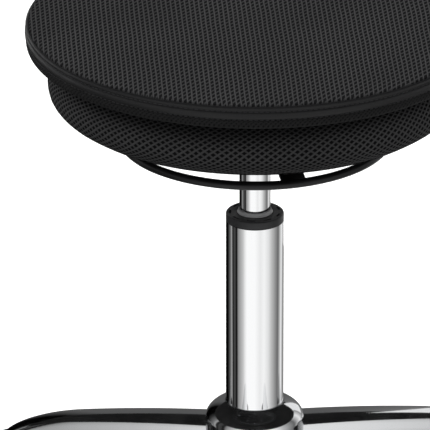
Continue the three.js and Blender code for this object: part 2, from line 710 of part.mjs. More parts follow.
// Foam ring and layer over the lower board; its side bulges most a little below the middle.
function lowerCushion() {
  const radius = lowerCushionRadius;
  const bottom = lowerBoardZ + GAP;
  const height = LOWER_CUSHION_HEIGHT;
  const inner = lowerBoardRadius + FABRIC_GAP;
  const body = turned([
    [0, lowerBoardTopZ + FABRIC_GAP],
    [inner, lowerBoardTopZ + FABRIC_GAP],
    [inner, bottom],
    [radius - 19, bottom],
    [radius - 8.5, bottom + 0.11 * height],
    [radius - 1.8, bottom + 0.25 * height],
    [radius, bottom + 0.41 * height],
    [radius - 1.2, bottom + 0.6 * height],
    [radius - 5, bottom + 0.78 * height],
    [radius - 12, bottom + 0.93 * height],
    [radius - 22, lowerCushionTopZ],
    [0, lowerCushionTopZ],
  ], SEAT_FACETS);
  const bores = holes(boltPlaces, TIE_BOLT_RADIUS + FABRIC_GAP, lowerBoardZ, lowerCushionTopZ + 1);
  return piece('lower_cushion', cut(body, bores), MESH_FABRIC);
}

function topBoard() {
  const holeTop = topBoardZ + TIE_BOLT_BITE + GAP;
  const bores = holes(boltPlaces, TIE_BOLT_RADIUS + HOLE_GAP, topBoardZ - 1, holeTop);
  const disc = rod(topBoardRadius, topBoardZ, topBoardTopZ, SEAT_FACETS);
  return piece('top_board', cut(disc, bores), BLACK_BOARD);
}

function tieBolts() {
  const tip = topBoardZ + TIE_BOLT_BITE;
  return boltPlaces.map(([x, y], i) => {
    const shape = fastener(lowerBoardZ - GAP, tip, TIE_BOLT_RADIUS, TIE_BOLT_HEAD_RADIUS, TIE_BOLT_HEAD);
    return piece(`tie_bolt_${i + 1}`, shape.translate(x, y, 0), ZINC_STEEL);
  });
}

const bandInner = PAD_RADIUS - BAND_WALL + BAND_PROUD;
const bandOuter = PAD_RADIUS + BAND_PROUD;
const bandBottomZ = padBottomZ + BAND_BOTTOM;
const bandTopZ = bandBottomZ + BAND_HEIGHT;

// Thin top pad: flat middle, low crown, a groove in its rim where the band sits.
function topCushion() {
  const lipZ = bandTopZ + GAP;
  const topEdge = PAD_RADIUS - PAD_TOP_INSET;
  const flat = PAD_FLAT_SHARE * PAD_RADIUS;
  return piece('top_cushion', turned([
    [0, padBottomZ],
    [PAD_RADIUS - 3, padBottomZ],
    [PAD_RADIUS, padBottomZ + 2.5],
    [PAD_RADIUS, bandBottomZ - GAP],
    [bandInner - GAP, bandBottomZ - GAP],
    [bandInner - GAP, lipZ],
    [bandOuter - PAD_LIP_INSET, lipZ],
    [bandOuter - PAD_LIP_INSET - 0.4, lipZ + 1],
    [topEdge, padTopZ - PAD_CROWN],
    [(topEdge + flat) / 2, padTopZ - 0.3 * PAD_CROWN],
    [flat, padTopZ],
    [0, padTopZ],
  ], SEAT_FACETS), MESH_FABRIC);
}

// Smooth vinyl band stitched round the pad's rim.
function borderBand() {
  return piece('border_band', ring([
    [bandInner, bandBottomZ],
    [bandOuter - 0.9, bandBottomZ],
    [bandOuter, bandBottomZ + 0.45 * BAND_HEIGHT],
    [bandOuter - 0.4, bandBottomZ + 0.8 * BAND_HEIGHT],
    [bandOuter - 1.2, bandTopZ],
    [bandInner, bandTopZ],
  ], SEAT_FACETS), VINYL);
}

// ---- the stool ------------------------------------------------------------------------
const stool = new THREE.Group();
stool.add(starBase());
stool.add(columnTube(), guideSleeve(), guideCap(), wiperRing(), thrustBearing());
stool.add(pistonRod(), piston(), rodWasher(), rodClip());
stool.add(pressureTube(), rodGland(), releaseButton());
stool.add(taperSocket(), cagePlate(), ...cagePosts(), releaseRing());
stool.add(mountPlate(), ...plateScrews(), lowerBoard(), lowerCushion());
stool.add(topBoard(), ...tieBolts(), topCushion(), borderBand());
armAngles.forEach((degrees, i) => stool.add(caster(i + 1, degrees)));

export default stool;
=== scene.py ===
"""Finished look of a round two-tier drafting stool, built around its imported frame."""

import json
import math

import bmesh
import bpy
import numpy as np
from bmesh.types import BMEdge, BMFace, BMVert
from mathutils import Matrix, Vector


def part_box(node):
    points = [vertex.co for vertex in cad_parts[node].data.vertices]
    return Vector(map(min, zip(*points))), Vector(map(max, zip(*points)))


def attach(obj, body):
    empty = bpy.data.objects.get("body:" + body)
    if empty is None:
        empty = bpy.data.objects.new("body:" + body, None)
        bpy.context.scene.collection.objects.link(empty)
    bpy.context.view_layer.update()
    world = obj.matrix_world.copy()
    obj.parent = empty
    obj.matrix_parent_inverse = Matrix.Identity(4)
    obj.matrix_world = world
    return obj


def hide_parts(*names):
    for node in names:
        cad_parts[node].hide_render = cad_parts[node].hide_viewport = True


bl_info = {
    "name": "Drafting Stool",
    "version": (1, 0, 0),
    "blender": (4, 5, 0),
    "location": "View3D > Sidebar > Stool",
    "description": "Builds the covers, metalwork, casters and stage of a drafting stool",
    "category": "Add Mesh",
}

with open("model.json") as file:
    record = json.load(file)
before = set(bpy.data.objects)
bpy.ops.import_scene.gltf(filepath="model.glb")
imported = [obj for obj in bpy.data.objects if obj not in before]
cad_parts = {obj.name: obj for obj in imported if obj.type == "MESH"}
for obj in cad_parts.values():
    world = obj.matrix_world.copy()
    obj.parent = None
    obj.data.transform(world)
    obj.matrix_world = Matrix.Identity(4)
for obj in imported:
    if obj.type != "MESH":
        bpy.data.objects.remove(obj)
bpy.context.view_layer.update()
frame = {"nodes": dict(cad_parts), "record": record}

MM = 0.001
FULL_TURN = math.tau
CASTERS = range(1, 6)


def round_node(name):
    """Radius, bottom and top of a CAD node that is round about the lift's axis."""
    low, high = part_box(name)
    return (high.x - low.x) / 2, low.z, high.z


def around(radius, height, *points):
    """Points of a profile, given in millimetres from a radius and a height."""
    return [(radius + out * MM, height + up * MM) for out, up in points]


# ---- building meshes ---------------------------------------------------------------------
def profile_loop(bm, profile, closed):
    """Vertices and edges of a [radius, height] profile in the XZ plane."""
    verts = [bm.verts.new((radius, 0, height)) for radius, height in profile]
    edges = [bm.edges.new(pair) for pair in zip(verts, verts[1:])]
    if closed:
        edges.append(bm.edges.new((verts[-1], verts[0])))
    return verts + edges


def spun(bm, geom, steps, angle=FULL_TURN, **settings):
    """Spins geometry about the Z axis."""
    bmesh.ops.spin(bm, geom=geom, cent=(0, 0, 0), axis=(0, 0, 1), angle=angle, steps=steps, **settings)


def turned(bm, profile, steps, closed=True):
    """Turns a profile once round the Z axis. A profile that ends on the axis isn't closed."""
    spun(bm, profile_loop(bm, profile, closed), steps, use_merge=True)


def eased(profile, radius, count=4):
    """The profile with each inner corner rounded to about that radius."""
    points = [Vector(point) for point in profile]
    result = [profile[0]]
    for before, corner, after in zip(points, points[1:], points[2:]):
        reach = min(radius, (before - corner).length / 2.2, (after - corner).length / 2.2)
        start = corner + (before - corner).normalized() * reach
        end = corner + (after - corner).normalized() * reach
        for i in range(count + 1):
            t = i / count
            point = start.lerp(corner, t).lerp(corner.lerp(end, t), t)
            result.append((point.x, point.y))
    result.append(profile[-1])
    return result


def ring_copies(bm, geom, count):
    """Copies geometry evenly round the Z axis until there are count of it."""
    spun(bm, geom, count - 1, FULL_TURN * (count - 1) / count, use_duplicate=True)


def soft_block(bm, size, matrix, bevel, segments=2):
    """Box of a size with rounded edges, placed by a matrix."""
    made = bmesh.ops.create_cube(bm, size=1)
    verts = made["verts"]
    bmesh.ops.scale(bm, vec=size, verts=verts)
    bevelled = bmesh.ops.bevel(
        bm, geom=edges_at(verts), offset=bevel, segments=segments, profile=0.5, affect="EDGES", material=-1
    )
    whole = connected(bevelled["verts"][0])
    bmesh.ops.transform(bm, matrix=matrix, verts=whole)
    return whole


def connected(start):
    """All vertices joined to this one."""
    found = {start}
    waiting = [start]
    while waiting:
        for edge in waiting.pop().link_edges:
            for vert in edge.verts:
                if vert not in found:
                    found.add(vert)
                    waiting.append(vert)
    return list(found)


def edges_at(verts):
    """The edges that meet at these vertices, each once."""
    return list({edge for vert in verts for edge in vert.link_edges})


def with_geometry(verts):
    """The vertices with the edges and faces between them."""
    edges = {edge for vert in verts for edge in vert.link_edges}
    faces = {face for vert in verts for face in vert.link_faces}
    return list(verts) + list(edges) + list(faces)


def only(kind, items):
    """The items of one kind from what an operation made."""
    return [item for item in items if isinstance(item, kind)]


def clean(bm):
    """Merges doubles and turns every face outwards."""
    bmesh.ops.remove_doubles(bm, verts=bm.verts, dist=1e-6)
    bmesh.ops.recalc_face_normals(bm, faces=bm.faces)


def new_object(bm, name, sharp_deg=35):
    clean(bm)
    mesh = bpy.data.meshes.new(name)
    bm.to_mesh(mesh)
    bm.free()
    mesh.shade_smooth()
    mesh.set_sharp_from_angle(angle=math.radians(sharp_deg))
    obj = bpy.data.objects.new(name, mesh)
    bpy.context.scene.collection.objects.link(obj)
    return obj


def turned_piece(name, profile, steps, sharp_deg=35, closed=True):
    """A new object turned from one profile."""
    bm = bmesh.new()
    turned(bm, profile, steps, closed)
    return new_object(bm, name, sharp_deg)


def mount(obj, look, body, slot, *nodes):
    """Gives a finished piece its material and its body, and hides the CAD nodes it stands for. The slot is not
    used.
    """
    obj.data.materials.clear()
    obj.data.materials.append(look)
    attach(obj, body)
    if nodes:
        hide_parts(*nodes)
    return obj


def rounded_edges(obj, width, segments=2):
    """Live bevel on the corners of a hard piece."""
    bevel = obj.modifiers.new("edge", "BEVEL")
    bevel.width = width
    bevel.segments = segments
    bevel.limit_method = "ANGLE"
    bevel.angle_limit = math.radians(40)
    bevel.harden_normals = False


# ---- building materials ------------------------------------------------------------------
class Graph:
    """A node tree while its nodes are being joined up."""

    def __init__(self, owner):
        owner.use_nodes = True
        self.nodes = owner.node_tree.nodes
        self.links = owner.node_tree.links

    def add(self, kind, **settings):
        node = self.nodes.new(kind)
        for key, value in settings.items():
            setattr(node, key, value)
        return node

    def join(self, source, target):
        self.links.new(source, target)

    def math(self, operation, first, second=0.0, third=0.0):
        node = self.add("ShaderNodeMath", operation=operation)
        for socket, value in zip(node.inputs, (first, second, third)):
            if isinstance(value, (int, float)):
                socket.default_value = value
            else:
                self.join(value, socket)
        return node.outputs[0]

    def split(self, place):
        """The X, Y and Z of a place."""
        node = self.add("ShaderNodeSeparateXYZ")
        self.join(place, node.inputs[0])
        return node.outputs[:3]

    def across(self, x, y):
        """Distance from the Z axis."""
        return self.math("SQRT", self.math("ADD", self.math("MULTIPLY", x, x), self.math("MULTIPLY", y, y)))

    def tint(self, factor, first, second):
        """Blend of two colours, each of them another node's or plain numbers."""
        node = self.add("ShaderNodeMix", data_type="RGBA")
        self.join(factor, node.inputs[0])
        for socket, value in ((node.inputs[6], first), (node.inputs[7], second)):
            if isinstance(value, bpy.types.NodeSocket):
                self.join(value, socket)
            else:
                socket.default_value = (*value, 1)
        return node.outputs[2]

    def greys(self, factor, levels):
        """Grey read from a ramp of (position, level) stops."""
        node = self.add("ShaderNodeValToRGB")
        self.join(factor, node.inputs[0])
        stops = node.color_ramp.elements
        stops[0].position = levels[0][0]
        stops[1].position = levels[-1][0]
        for position, _ in levels[1:-1]:
            stops.new(position)
        for stop, (_, level) in zip(stops, levels):
            stop.color = (level, level, level, 1)
        return node.outputs[0]


class Look(Graph):
    """One procedural material."""

    def __init__(self, name, color, roughness, metallic=0.0):
        self.material = bpy.data.materials.new(name)
        super().__init__(self.material)
        self.shader = self.nodes["Principled BSDF"]
        self.shader.inputs["Base Color"].default_value = (*color, 1)
        self.shader.inputs["Roughness"].default_value = roughness
        self.shader.inputs["Metallic"].default_value = metallic
        self.place = self.add("ShaderNodeTexCoord").outputs["Object"]

    def stretched(self, scale):
        mapping = self.add("ShaderNodeMapping")
        mapping.inputs["Scale"].default_value = scale
        self.join(self.place, mapping.inputs["Vector"])
        return mapping.outputs[0]

    def noise(self, scale, detail=3.0, place=None):
        node = self.add("ShaderNodeTexNoise")
        node.inputs["Scale"].default_value = scale
        node.inputs["Detail"].default_value = detail
        self.join(place or self.place, node.inputs["Vector"])
        return node.outputs["Fac"]

    def between(self, source, low, high, out_low, out_high):
        node = self.add("ShaderNodeMapRange", interpolation_type="SMOOTHSTEP")
        for key, value in zip(("From Min", "From Max", "To Min", "To Max"), (low, high, out_low, out_high)):
            node.inputs[key].default_value = value
        self.join(source, node.inputs["Value"])
        return node.outputs[0]

    def color(self, source):
        self.join(source, self.shader.inputs["Base Color"])

    def roughness(self, source):
        self.join(source, self.shader.inputs["Roughness"])

    def bump(self, height, distance, strength=1.0):
        node = self.add("ShaderNodeBump")
        node.inputs["Distance"].default_value = distance
        node.inputs["Strength"].default_value = strength
        self.join(height, node.inputs["Height"])
        if self.shader.inputs["Normal"].is_linked:
            before = self.shader.inputs["Normal"].links[0].from_socket
            self.join(before, node.inputs["Normal"])
        self.join(node.outputs[0], self.shader.inputs["Normal"])


def yarn_lines(look, phase, low, high):
    """Narrow raised lines, one each time the phase passes half a turn."""
    crest = look.math("MULTIPLY", look.math("COSINE", phase), -1.0)
    return look.between(crest, low, high, 0.0, 1.0)


def mesh_fabric(name, yarn, hole, phases, bars, widths, wander_by, fade=None):
    """Knitted mesh over a dark lining.

    phases gives the phases of its two sets of yarns, bars is the strength of the second set, and
    fade is the radius past which the mesh is pulled closed.
    """
    look = Look(name, yarn, 0.8)
    wander = look.noise(30, 1.0)
    x, y, z = look.split(look.place)
    first, second = phases(look, x, y, z)
    first = look.math("MULTIPLY_ADD", wander, wander_by, first)
    second = look.math("MULTIPLY_ADD", wander, wander_by * 1.3, second)
    wales = yarn_lines(look, first, *widths[0])
    bridges = look.math("MULTIPLY", yarn_lines(look, second, *widths[1]), bars)
    cord = look.math("MAXIMUM", wales, bridges)
    if fade:
        closing = look.between(look.across(x, y), fade - 5 * MM, fade, 0.0, 1.0)
        cord = look.math("MULTIPLY", cord, look.math("SUBTRACT", 1.0, closing))
        cord = look.math("MULTIPLY_ADD", closing, 0.22, cord)
    fluff = look.noise(1500, 2.0)
    cloudy = look.between(look.noise(11, 2.0), 0.35, 0.7, 0.0, 1.0)
    shade = look.tint(cloudy, tuple(c * 0.85 for c in yarn), yarn)
    look.color(look.tint(cord, hole, shade))
    look.join(look.math("MULTIPLY", cord, 0.18), look.shader.inputs["Specular IOR Level"])
    look.roughness(look.between(fluff, 0.3, 0.7, 0.66, 0.88))
    look.bump(cord, 0.0008, 0.8)
    look.bump(fluff, 0.00012, 0.6)
    return look.material


def flat_phases(row, pitch, lean, turn_deg):
    """Mesh laid flat: wales a row apart nearly along Y, bridges a pitch apart that climb by lean."""

    def phases(look, x, y, z):
        turn = math.radians(turn_deg)
        across = look.math("MULTIPLY", x, math.cos(turn))
        across = look.math("MULTIPLY_ADD", y, math.sin(turn), across)
        first = look.math("MULTIPLY", across, FULL_TURN / row)
        climb = look.math("MULTIPLY", y, -FULL_TURN / pitch)
        return first, look.math("MULTIPLY_ADD", first, lean, climb)

    return phases


def round_phases(count, pitch, middle, radius):
    """Mesh wrapped round a cushion's side on the bias: its yarns climb both ways."""

    def phases(look, x, y, z):
        turns = look.math("MULTIPLY", look.math("ARCTAN2", y, x), float(count))
        inwards = look.math("SUBTRACT", radius, look.across(x, y))
        rise = look.math("SUBTRACT", z, middle)
        travel = look.math("MULTIPLY_ADD", look.math("SIGN", rise), inwards, rise)
        climb = look.math("MULTIPLY", travel, FULL_TURN / pitch)
        return look.math("SUBTRACT", turns, climb), look.math("ADD", turns, climb)

    return phases


def vinyl_look(color):
    look = Look("vinyl", color, 0.4)
    look.shader.inputs["Specular IOR Level"].default_value = 0.22
    grain = look.add("ShaderNodeTexVoronoi", feature="DISTANCE_TO_EDGE")
    grain.inputs["Scale"].default_value = 900
    look.join(look.place, grain.inputs["Vector"])
    look.bump(look.between(grain.outputs["Distance"], 0.0, 0.25, 0.0, 1.0), 0.0001, 0.45)
    look.bump(look.noise(60, 2.0), 0.0009, 0.35)
    look.roughness(look.between(look.noise(22), 0.3, 0.7, 0.33, 0.46))
    return look.material


def chrome_look(color):
    look = Look("chrome", color, 0.05, 1.0)
    look.roughness(look.between(look.noise(40, 4.0), 0.35, 0.75, 0.035, 0.075))
    look.bump(look.noise(18, 1.0), 0.0004, 0.12)
    return look.material


def aluminium_look(color):
    look = Look("polished_aluminium", color, 0.16, 1.0)
    look.roughness(look.between(look.noise(55, 4.0), 0.3, 0.75, 0.06, 0.13))
    look.bump(look.noise(42, 2.0), 0.0006, 0.12)
    look.bump(look.noise(900, 2.0), 0.00004, 0.3)
    return look.material


def coated_look(name, color, roughness, metallic, grain, depth):
    """Painted, moulded or plated surface with a fine grain and uneven gloss."""
    look = Look(name, color, roughness, metallic)
    if metallic == 0.0:
        look.shader.inputs["Specular IOR Level"].default_value = 0.3
    cloudy = look.between(look.noise(30, 4.0), 0.3, 0.75, 0.0, 1.0)
    look.color(look.tint(cloudy, color, tuple(c * 1.35 for c in color)))
    look.roughness(look.between(look.noise(70, 3.0), 0.3, 0.7, roughness - 0.07, roughness + 0.07))
    look.bump(look.noise(grain, 2.0), depth, 0.6)
    return look.material


def plywood_look(color, plies):
    look = Look("plywood", color, 0.62)
    grain = look.noise(60, 5.0, look.stretched((0.5, 9.0, 9.0)))
    _, _, z = look.split(look.place)
    layers = look.math("SINE", look.math("MULTIPLY", z, FULL_TURN * plies / 0.012))
    shade = look.math("MULTIPLY_ADD", look.between(layers, -0.2, 0.2, 0.0, 1.0), 0.35, grain)
    look.color(look.tint(look.between(shade, 0.35, 0.95, 0.0, 1.0), tuple(c * 0.62 for c in color), color))
    look.bump(grain, 0.0003, 0.4)
    return look.material


LOOKS = {}


def mesh_looks(finish):
    """What the three mesh fabrics are made with, after their names."""
    lower_radius, lower_bottom, lower_top = round_node("lower_cushion")
    pad_radius, pad_bottom, _ = round_node("top_cushion")
    widest = lower_bottom + 0.41 * (lower_top - lower_bottom)
    rows = finish.mesh_rows
    diamond = finish.diamond
    flat = flat_phases(finish.wale, finish.bridge, 0.7, finish.mesh_turn)
    return {
        "top_mesh": (1.0, flat, 0.7, ((0.05, 1.0), (0.05, 0.9)), 1.6, pad_radius + 2.2 * MM),
        "lower_mesh": (
            1.35,
            round_phases(rows, diamond, widest, lower_radius),
            0.85,
            ((-0.15, 0.75), (-0.1, 0.8)),
            0.7,
        ),
        "skirt_mesh": (
            0.26,
            round_phases(2 * rows, diamond * 0.6, pad_bottom, pad_radius),
            0.8,
            ((-0.8, 0.2), (-0.8, 0.2)),
            0.4,
        ),
    }


def coated_looks(finish):
    """Colour, roughness, metallic, and scale and depth of the grain of the coated finishes."""
    return {
        "black_steel": (finish.coating, 0.36, 0.0, 1100, 0.00012),
        "zinc_steel": ((0.42, 0.43, 0.45), 0.34, 1.0, 700, 0.00005),
        "black_plastic": (finish.coating, 0.5, 0.0, 1600, 0.0001),
        "cap_plastic": ((0.05, 0.051, 0.053), 0.42, 0.0, 1600, 0.0001),
        "grey_plastic": ((0.33, 0.335, 0.34), 0.45, 0.0, 1500, 0.0001),
        "white_nylon": ((0.62, 0.61, 0.56), 0.5, 0.0, 1200, 0.0001),
        "caster_tread": ((0.016, 0.016, 0.017), 0.58, 0.0, 800, 0.0002),
        "black_board": ((0.009, 0.009, 0.01), 0.66, 0.0, 500, 0.0002),
        "lining": ((0.012, 0.012, 0.0125), 0.8, 0.0, 900, 0.0002),
        # the wiper's light grey is partly its own colour and partly painted light: raised to stand in for the
        # light and reflection it misses in the shade under the seat
        "wiper": ((0.74, 0.745, 0.75), 0.28, 0.0, 1500, 0.0001),
        "thread": ((0.03, 0.03, 0.032), 0.6, 0.0, 2500, 0.0001),
    }


def new_look(name):
    finish = bpy.context.scene.stool_finishes
    if name in mesh_looks(finish):
        yarn_share, *weave = mesh_looks(finish)[name]
        return mesh_fabric(name, tuple(c * yarn_share for c in finish.yarn), tuple(finish.mesh_hole), *weave)
    if name in coated_looks(finish):
        return coated_look(name, *coated_looks(finish)[name])
    others = {
        "vinyl": lambda: vinyl_look(finish.vinyl),
        "chrome": lambda: chrome_look(finish.chrome),
        "polished_aluminium": lambda: aluminium_look(finish.aluminium),
        "plywood": lambda: plywood_look((0.43, 0.27, 0.13), 4.5),
    }
    return others[name]()


def look_of(name):
    """The material of a name, made once from the finishes in the sidebar."""
    if name not in LOOKS:
        LOOKS[name] = new_look(name)
    return LOOKS[name]


# ---- padded covers -----------------------------------------------------------------------
def remeshed(obj, voxel):
    """Even skin of small faces over a closed shape, ready for the cloth solver."""
    remesh = obj.modifiers.new("skin", "REMESH")
    remesh.mode = "VOXEL"
    remesh.voxel_size = voxel
    bake_modifiers(obj)


def bake_modifiers(obj):
    """Replaces a piece's mesh with what its modifiers make of it."""
    graph = bpy.context.evaluated_depsgraph_get()
    mesh = bpy.data.meshes.new_from_object(obj.evaluated_get(graph))
    obj.modifiers.clear()
    old = obj.data
    obj.data = mesh
    bpy.data.meshes.remove(old)
    mesh.name = obj.name
    mesh.shade_smooth()


def coordinates(mesh):
    values = np.zeros(len(mesh.vertices) * 3)
    mesh.vertices.foreach_get("co", values)
    return values.reshape(-1, 3)


def filled(obj, held, pressure, reach, frames=20):
    """Fills a closed cover with air while the held points stay, so that it swells by reach at most."""
    rest = coordinates(obj.data)
    group = obj.vertex_groups.new(name="held")
    group.add([int(i) for i in np.nonzero(held(rest))[0]], 1.0, "REPLACE")
    cloth = obj.modifiers.new("cloth", "CLOTH")
    cloth.settings.use_pressure = True
    cloth.settings.uniform_pressure_force = pressure
    cloth.settings.vertex_group_mass = group.name
    cloth.settings.effector_weights.gravity = 0
    cloth.point_cache.frame_start = 1
    cloth.point_cache.frame_end = frames
    scene = bpy.context.scene
    for number in range(1, frames + 1):
        scene.frame_set(number)
    bake_modifiers(obj)
    moved = coordinates(obj.data) - rest
    length = np.linalg.norm(moved, axis=1).max()
    settled = rest + moved * min(1.0, reach / max(length, 1e-9))
    obj.data.vertices.foreach_set("co", settled.ravel())
    obj.data.update()
    obj.vertex_groups.clear()
    scene.frame_set(1)


def subdivided(obj):
    finer = obj.modifiers.new("finer", "SUBSURF")
    finer.levels = 1
    finer.render_levels = 1
    bake_modifiers(obj)


def padded_cover(bm, name, voxel, held, reach):
    """A cover swelled by its padding."""
    obj = new_object(bm, name)
    remeshed(obj, voxel)
    filled(obj, held, 4.0, reach)
    subdivided(obj)
    obj.data.shade_smooth()
    return obj


class STOOL_OT_top_pad(bpy.types.Operator):
    """Makes the thin top pad with its mesh cover and the mesh strip under its band"""

    bl_idname = "stool.top_pad"
    bl_label = "Top pad"

    def execute(self, context):
        radius, bottom, top = round_node("top_cushion")
        band_radius, band_bottom, band_top = round_node("border_band")
        swell = context.scene.stool_sizes.pad_swell
        rim = band_radius - 1.3 * MM
        crown = top - swell
        profile = [
            (0, bottom),
            *around(radius, bottom, (-5, 0), (-2.0, 2.5)),
            *around(radius, band_bottom, (-1.6, 1)),
            *around(rim, band_bottom, (-2.6, 3.0)),
            *around(rim, band_top, (-2.2, -1.6), (-0.2, 0.6), (-2.2, 2.6)),
            *around(rim, crown, (-12, -0.3)),
            (radius * 0.56, crown),
            (radius * 0.3, crown + 0.1 * MM),
            (0, crown + 0.1 * MM),
        ]
        bm = bmesh.new()
        turned(bm, eased(profile, 2.4 * MM, 3), 128, closed=False)

        def held(points):
            out = np.hypot(points[:, 0], points[:, 1])
            return (out > rim - 3 * MM) | (points[:, 2] < band_bottom)

        cover = padded_cover(bm, "top_pad_cover", 4 * MM, held, swell)
        mount(cover, look_of("top_mesh"), "seat", "mesh_fabric", "top_cushion")

        skirt = [
            *around(radius, bottom, (-6, -0.1), (-2.2, 0.2), (-0.3, 2.6), (0.5, 5.5)),
            *around(radius, band_bottom, (-0.2, -0.6), (-2.4, 0.6), (-6, 0.6)),
        ]
        strip = turned_piece("top_pad_skirt", eased(skirt, 1.6 * MM, 3), 160, 60)
        mount(strip, look_of("skirt_mesh"), "seat", "mesh_fabric")
        return {"FINISHED"}


class STOOL_OT_border_band(bpy.types.Operator):
    """Makes the vinyl band round the pad, its edge roll and its two rows of stitches"""

    bl_idname = "stool.border_band"
    bl_label = "Border band"

    def execute(self, context):
        outer, bottom, top = round_node("border_band")
        pitch = context.scene.stool_sizes.stitch_pitch
        profile = [
            *around(outer, bottom, (-4.5, 0.2), (-2.2, -0.4), (-0.9, 0.4), (-0.1, 2.4), (0.1, 4.6)),
            *around(outer, bottom, (-0.4, 6.6), (-1.3, 7.5), (-0.5, 8.4)),
            *around(outer, top, (-0.5, -0.4), (-1.2, 0.8), (-2.6, 0.9), (-4.5, -0.6)),
        ]
        band = turned_piece("vinyl_band", eased(profile, 1.1 * MM, 2), 192, 60)
        mount(band, look_of("vinyl"), "seat", "vinyl", "border_band")

        bm = bmesh.new()
        upright = Matrix.Rotation(math.pi / 2, 4, "Y")
        size = (0.55 * MM, pitch * 0.66, 0.7 * MM)
        for radius, height in around(outer, bottom, (-1.05, 7.5), (-1.35, -0.2)):
            stitch = soft_block(bm, size, Matrix.Translation((radius, 0, height)) @ upright, 0.2 * MM, 1)
            ring_copies(bm, with_geometry(stitch), round(FULL_TURN * outer / pitch))
        mount(new_object(bm, "band_stitches"), look_of("thread"), "seat", "vinyl")
        return {"FINISHED"}


class STOOL_OT_lower_cushion(bpy.types.Operator):
    """Makes the lower cushion's mesh cover, swelled between the two boards"""

    bl_idname = "stool.lower_cushion"
    bl_label = "Lower cushion"

    def execute(self, context):
        radius, bottom, top = round_node("lower_cushion")
        board_radius, _, board_top = round_node("lower_board")
        height = top - bottom
        swell = context.scene.stool_sizes.cushion_swell
        side = radius - swell
        inner = board_radius + 0.5 * MM
        profile = [
            (0, board_top + 0.5 * MM),
            (inner, board_top + 0.5 * MM),
            (inner, bottom),
            (side - 18 * MM, bottom),
            (side - 8.0 * MM, bottom + 0.11 * height),
            (side - 1.9 * MM, bottom + 0.25 * height),
            (side, bottom + 0.41 * height),
            (side - 1.0 * MM, bottom + 0.6 * height),
            (side - 4.4 * MM, bottom + 0.78 * height),
            (side - 10.5 * MM, bottom + 0.93 * height),
            (side - 20 * MM, top - 0.3 * MM),
            (0, top - 0.3 * MM),
        ]
        bm = bmesh.new()
        turned(bm, eased(profile, 6 * MM, 3), 144, closed=False)

        def held(points):
            out = np.hypot(points[:, 0], points[:, 1])
            return out < side - 19 * MM

        cover = padded_cover(bm, "lower_cushion_cover", 5 * MM, held, swell)
        mount(cover, look_of("lower_mesh"), "seat", "mesh_fabric", "lower_cushion")
        return {"FINISHED"}


class STOOL_OT_underside(bpy.types.Operator):
    """Makes the cover's turned-in edge with its staples, and the dust cloth under the board"""

    bl_idname = "stool.underside"
    bl_label = "Underside"

    def execute(self, context):
        board_radius, bottom, _ = round_node("lower_board")
        edge = [
            *around(board_radius, bottom, (-27, -0.05), (-27.4, -0.6), (-12, -0.9)),
            *around(board_radius, bottom, (6, -0.6), (7, -0.05)),
        ]
        hem = turned_piece("cover_hem", edge, 144, 60)
        mount(hem, look_of("lower_mesh"), "seat", "mesh_fabric")
        bm = bmesh.new()
        place = Matrix.Translation((board_radius - 16 * MM, 0, bottom - 1.15 * MM))
        staple = soft_block(bm, (0.9 * MM, 9 * MM, 0.7 * MM), place, 0.25 * MM, 2)
        ring_copies(bm, with_geometry(staple), context.scene.stool_sizes.staples)
        mount(new_object(bm, "hem_staples"), look_of("zinc_steel"), "seat", "zinc_steel")
        self.dust_cloth(board_radius - 26 * MM, bottom)
        return {"FINISHED"}
    def dust_cloth(self, outer, board_bottom):
        """Black cloth under the board, from the hem in between the board and its mounting plate."""
        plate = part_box("mount_plate")[1]
        inner = plate.x - 6 * MM
        corner = math.hypot(plate.x, plate.y) + 1 * MM
        profile = [
            *around(inner, board_bottom, (0, -0.05), (0, -0.2)),
            *around(corner, board_bottom, (0, -0.22)),
            *around((corner + outer) / 2, board_bottom, (0, -0.7)),
            *around(outer, board_bottom, (-1, -0.45), (0, -0.05)),
        ]
        cloth = turned_piece("dust_cloth", profile, 144, 60)
        mount(cloth, look_of("lining"), "seat", "mesh_fabric")


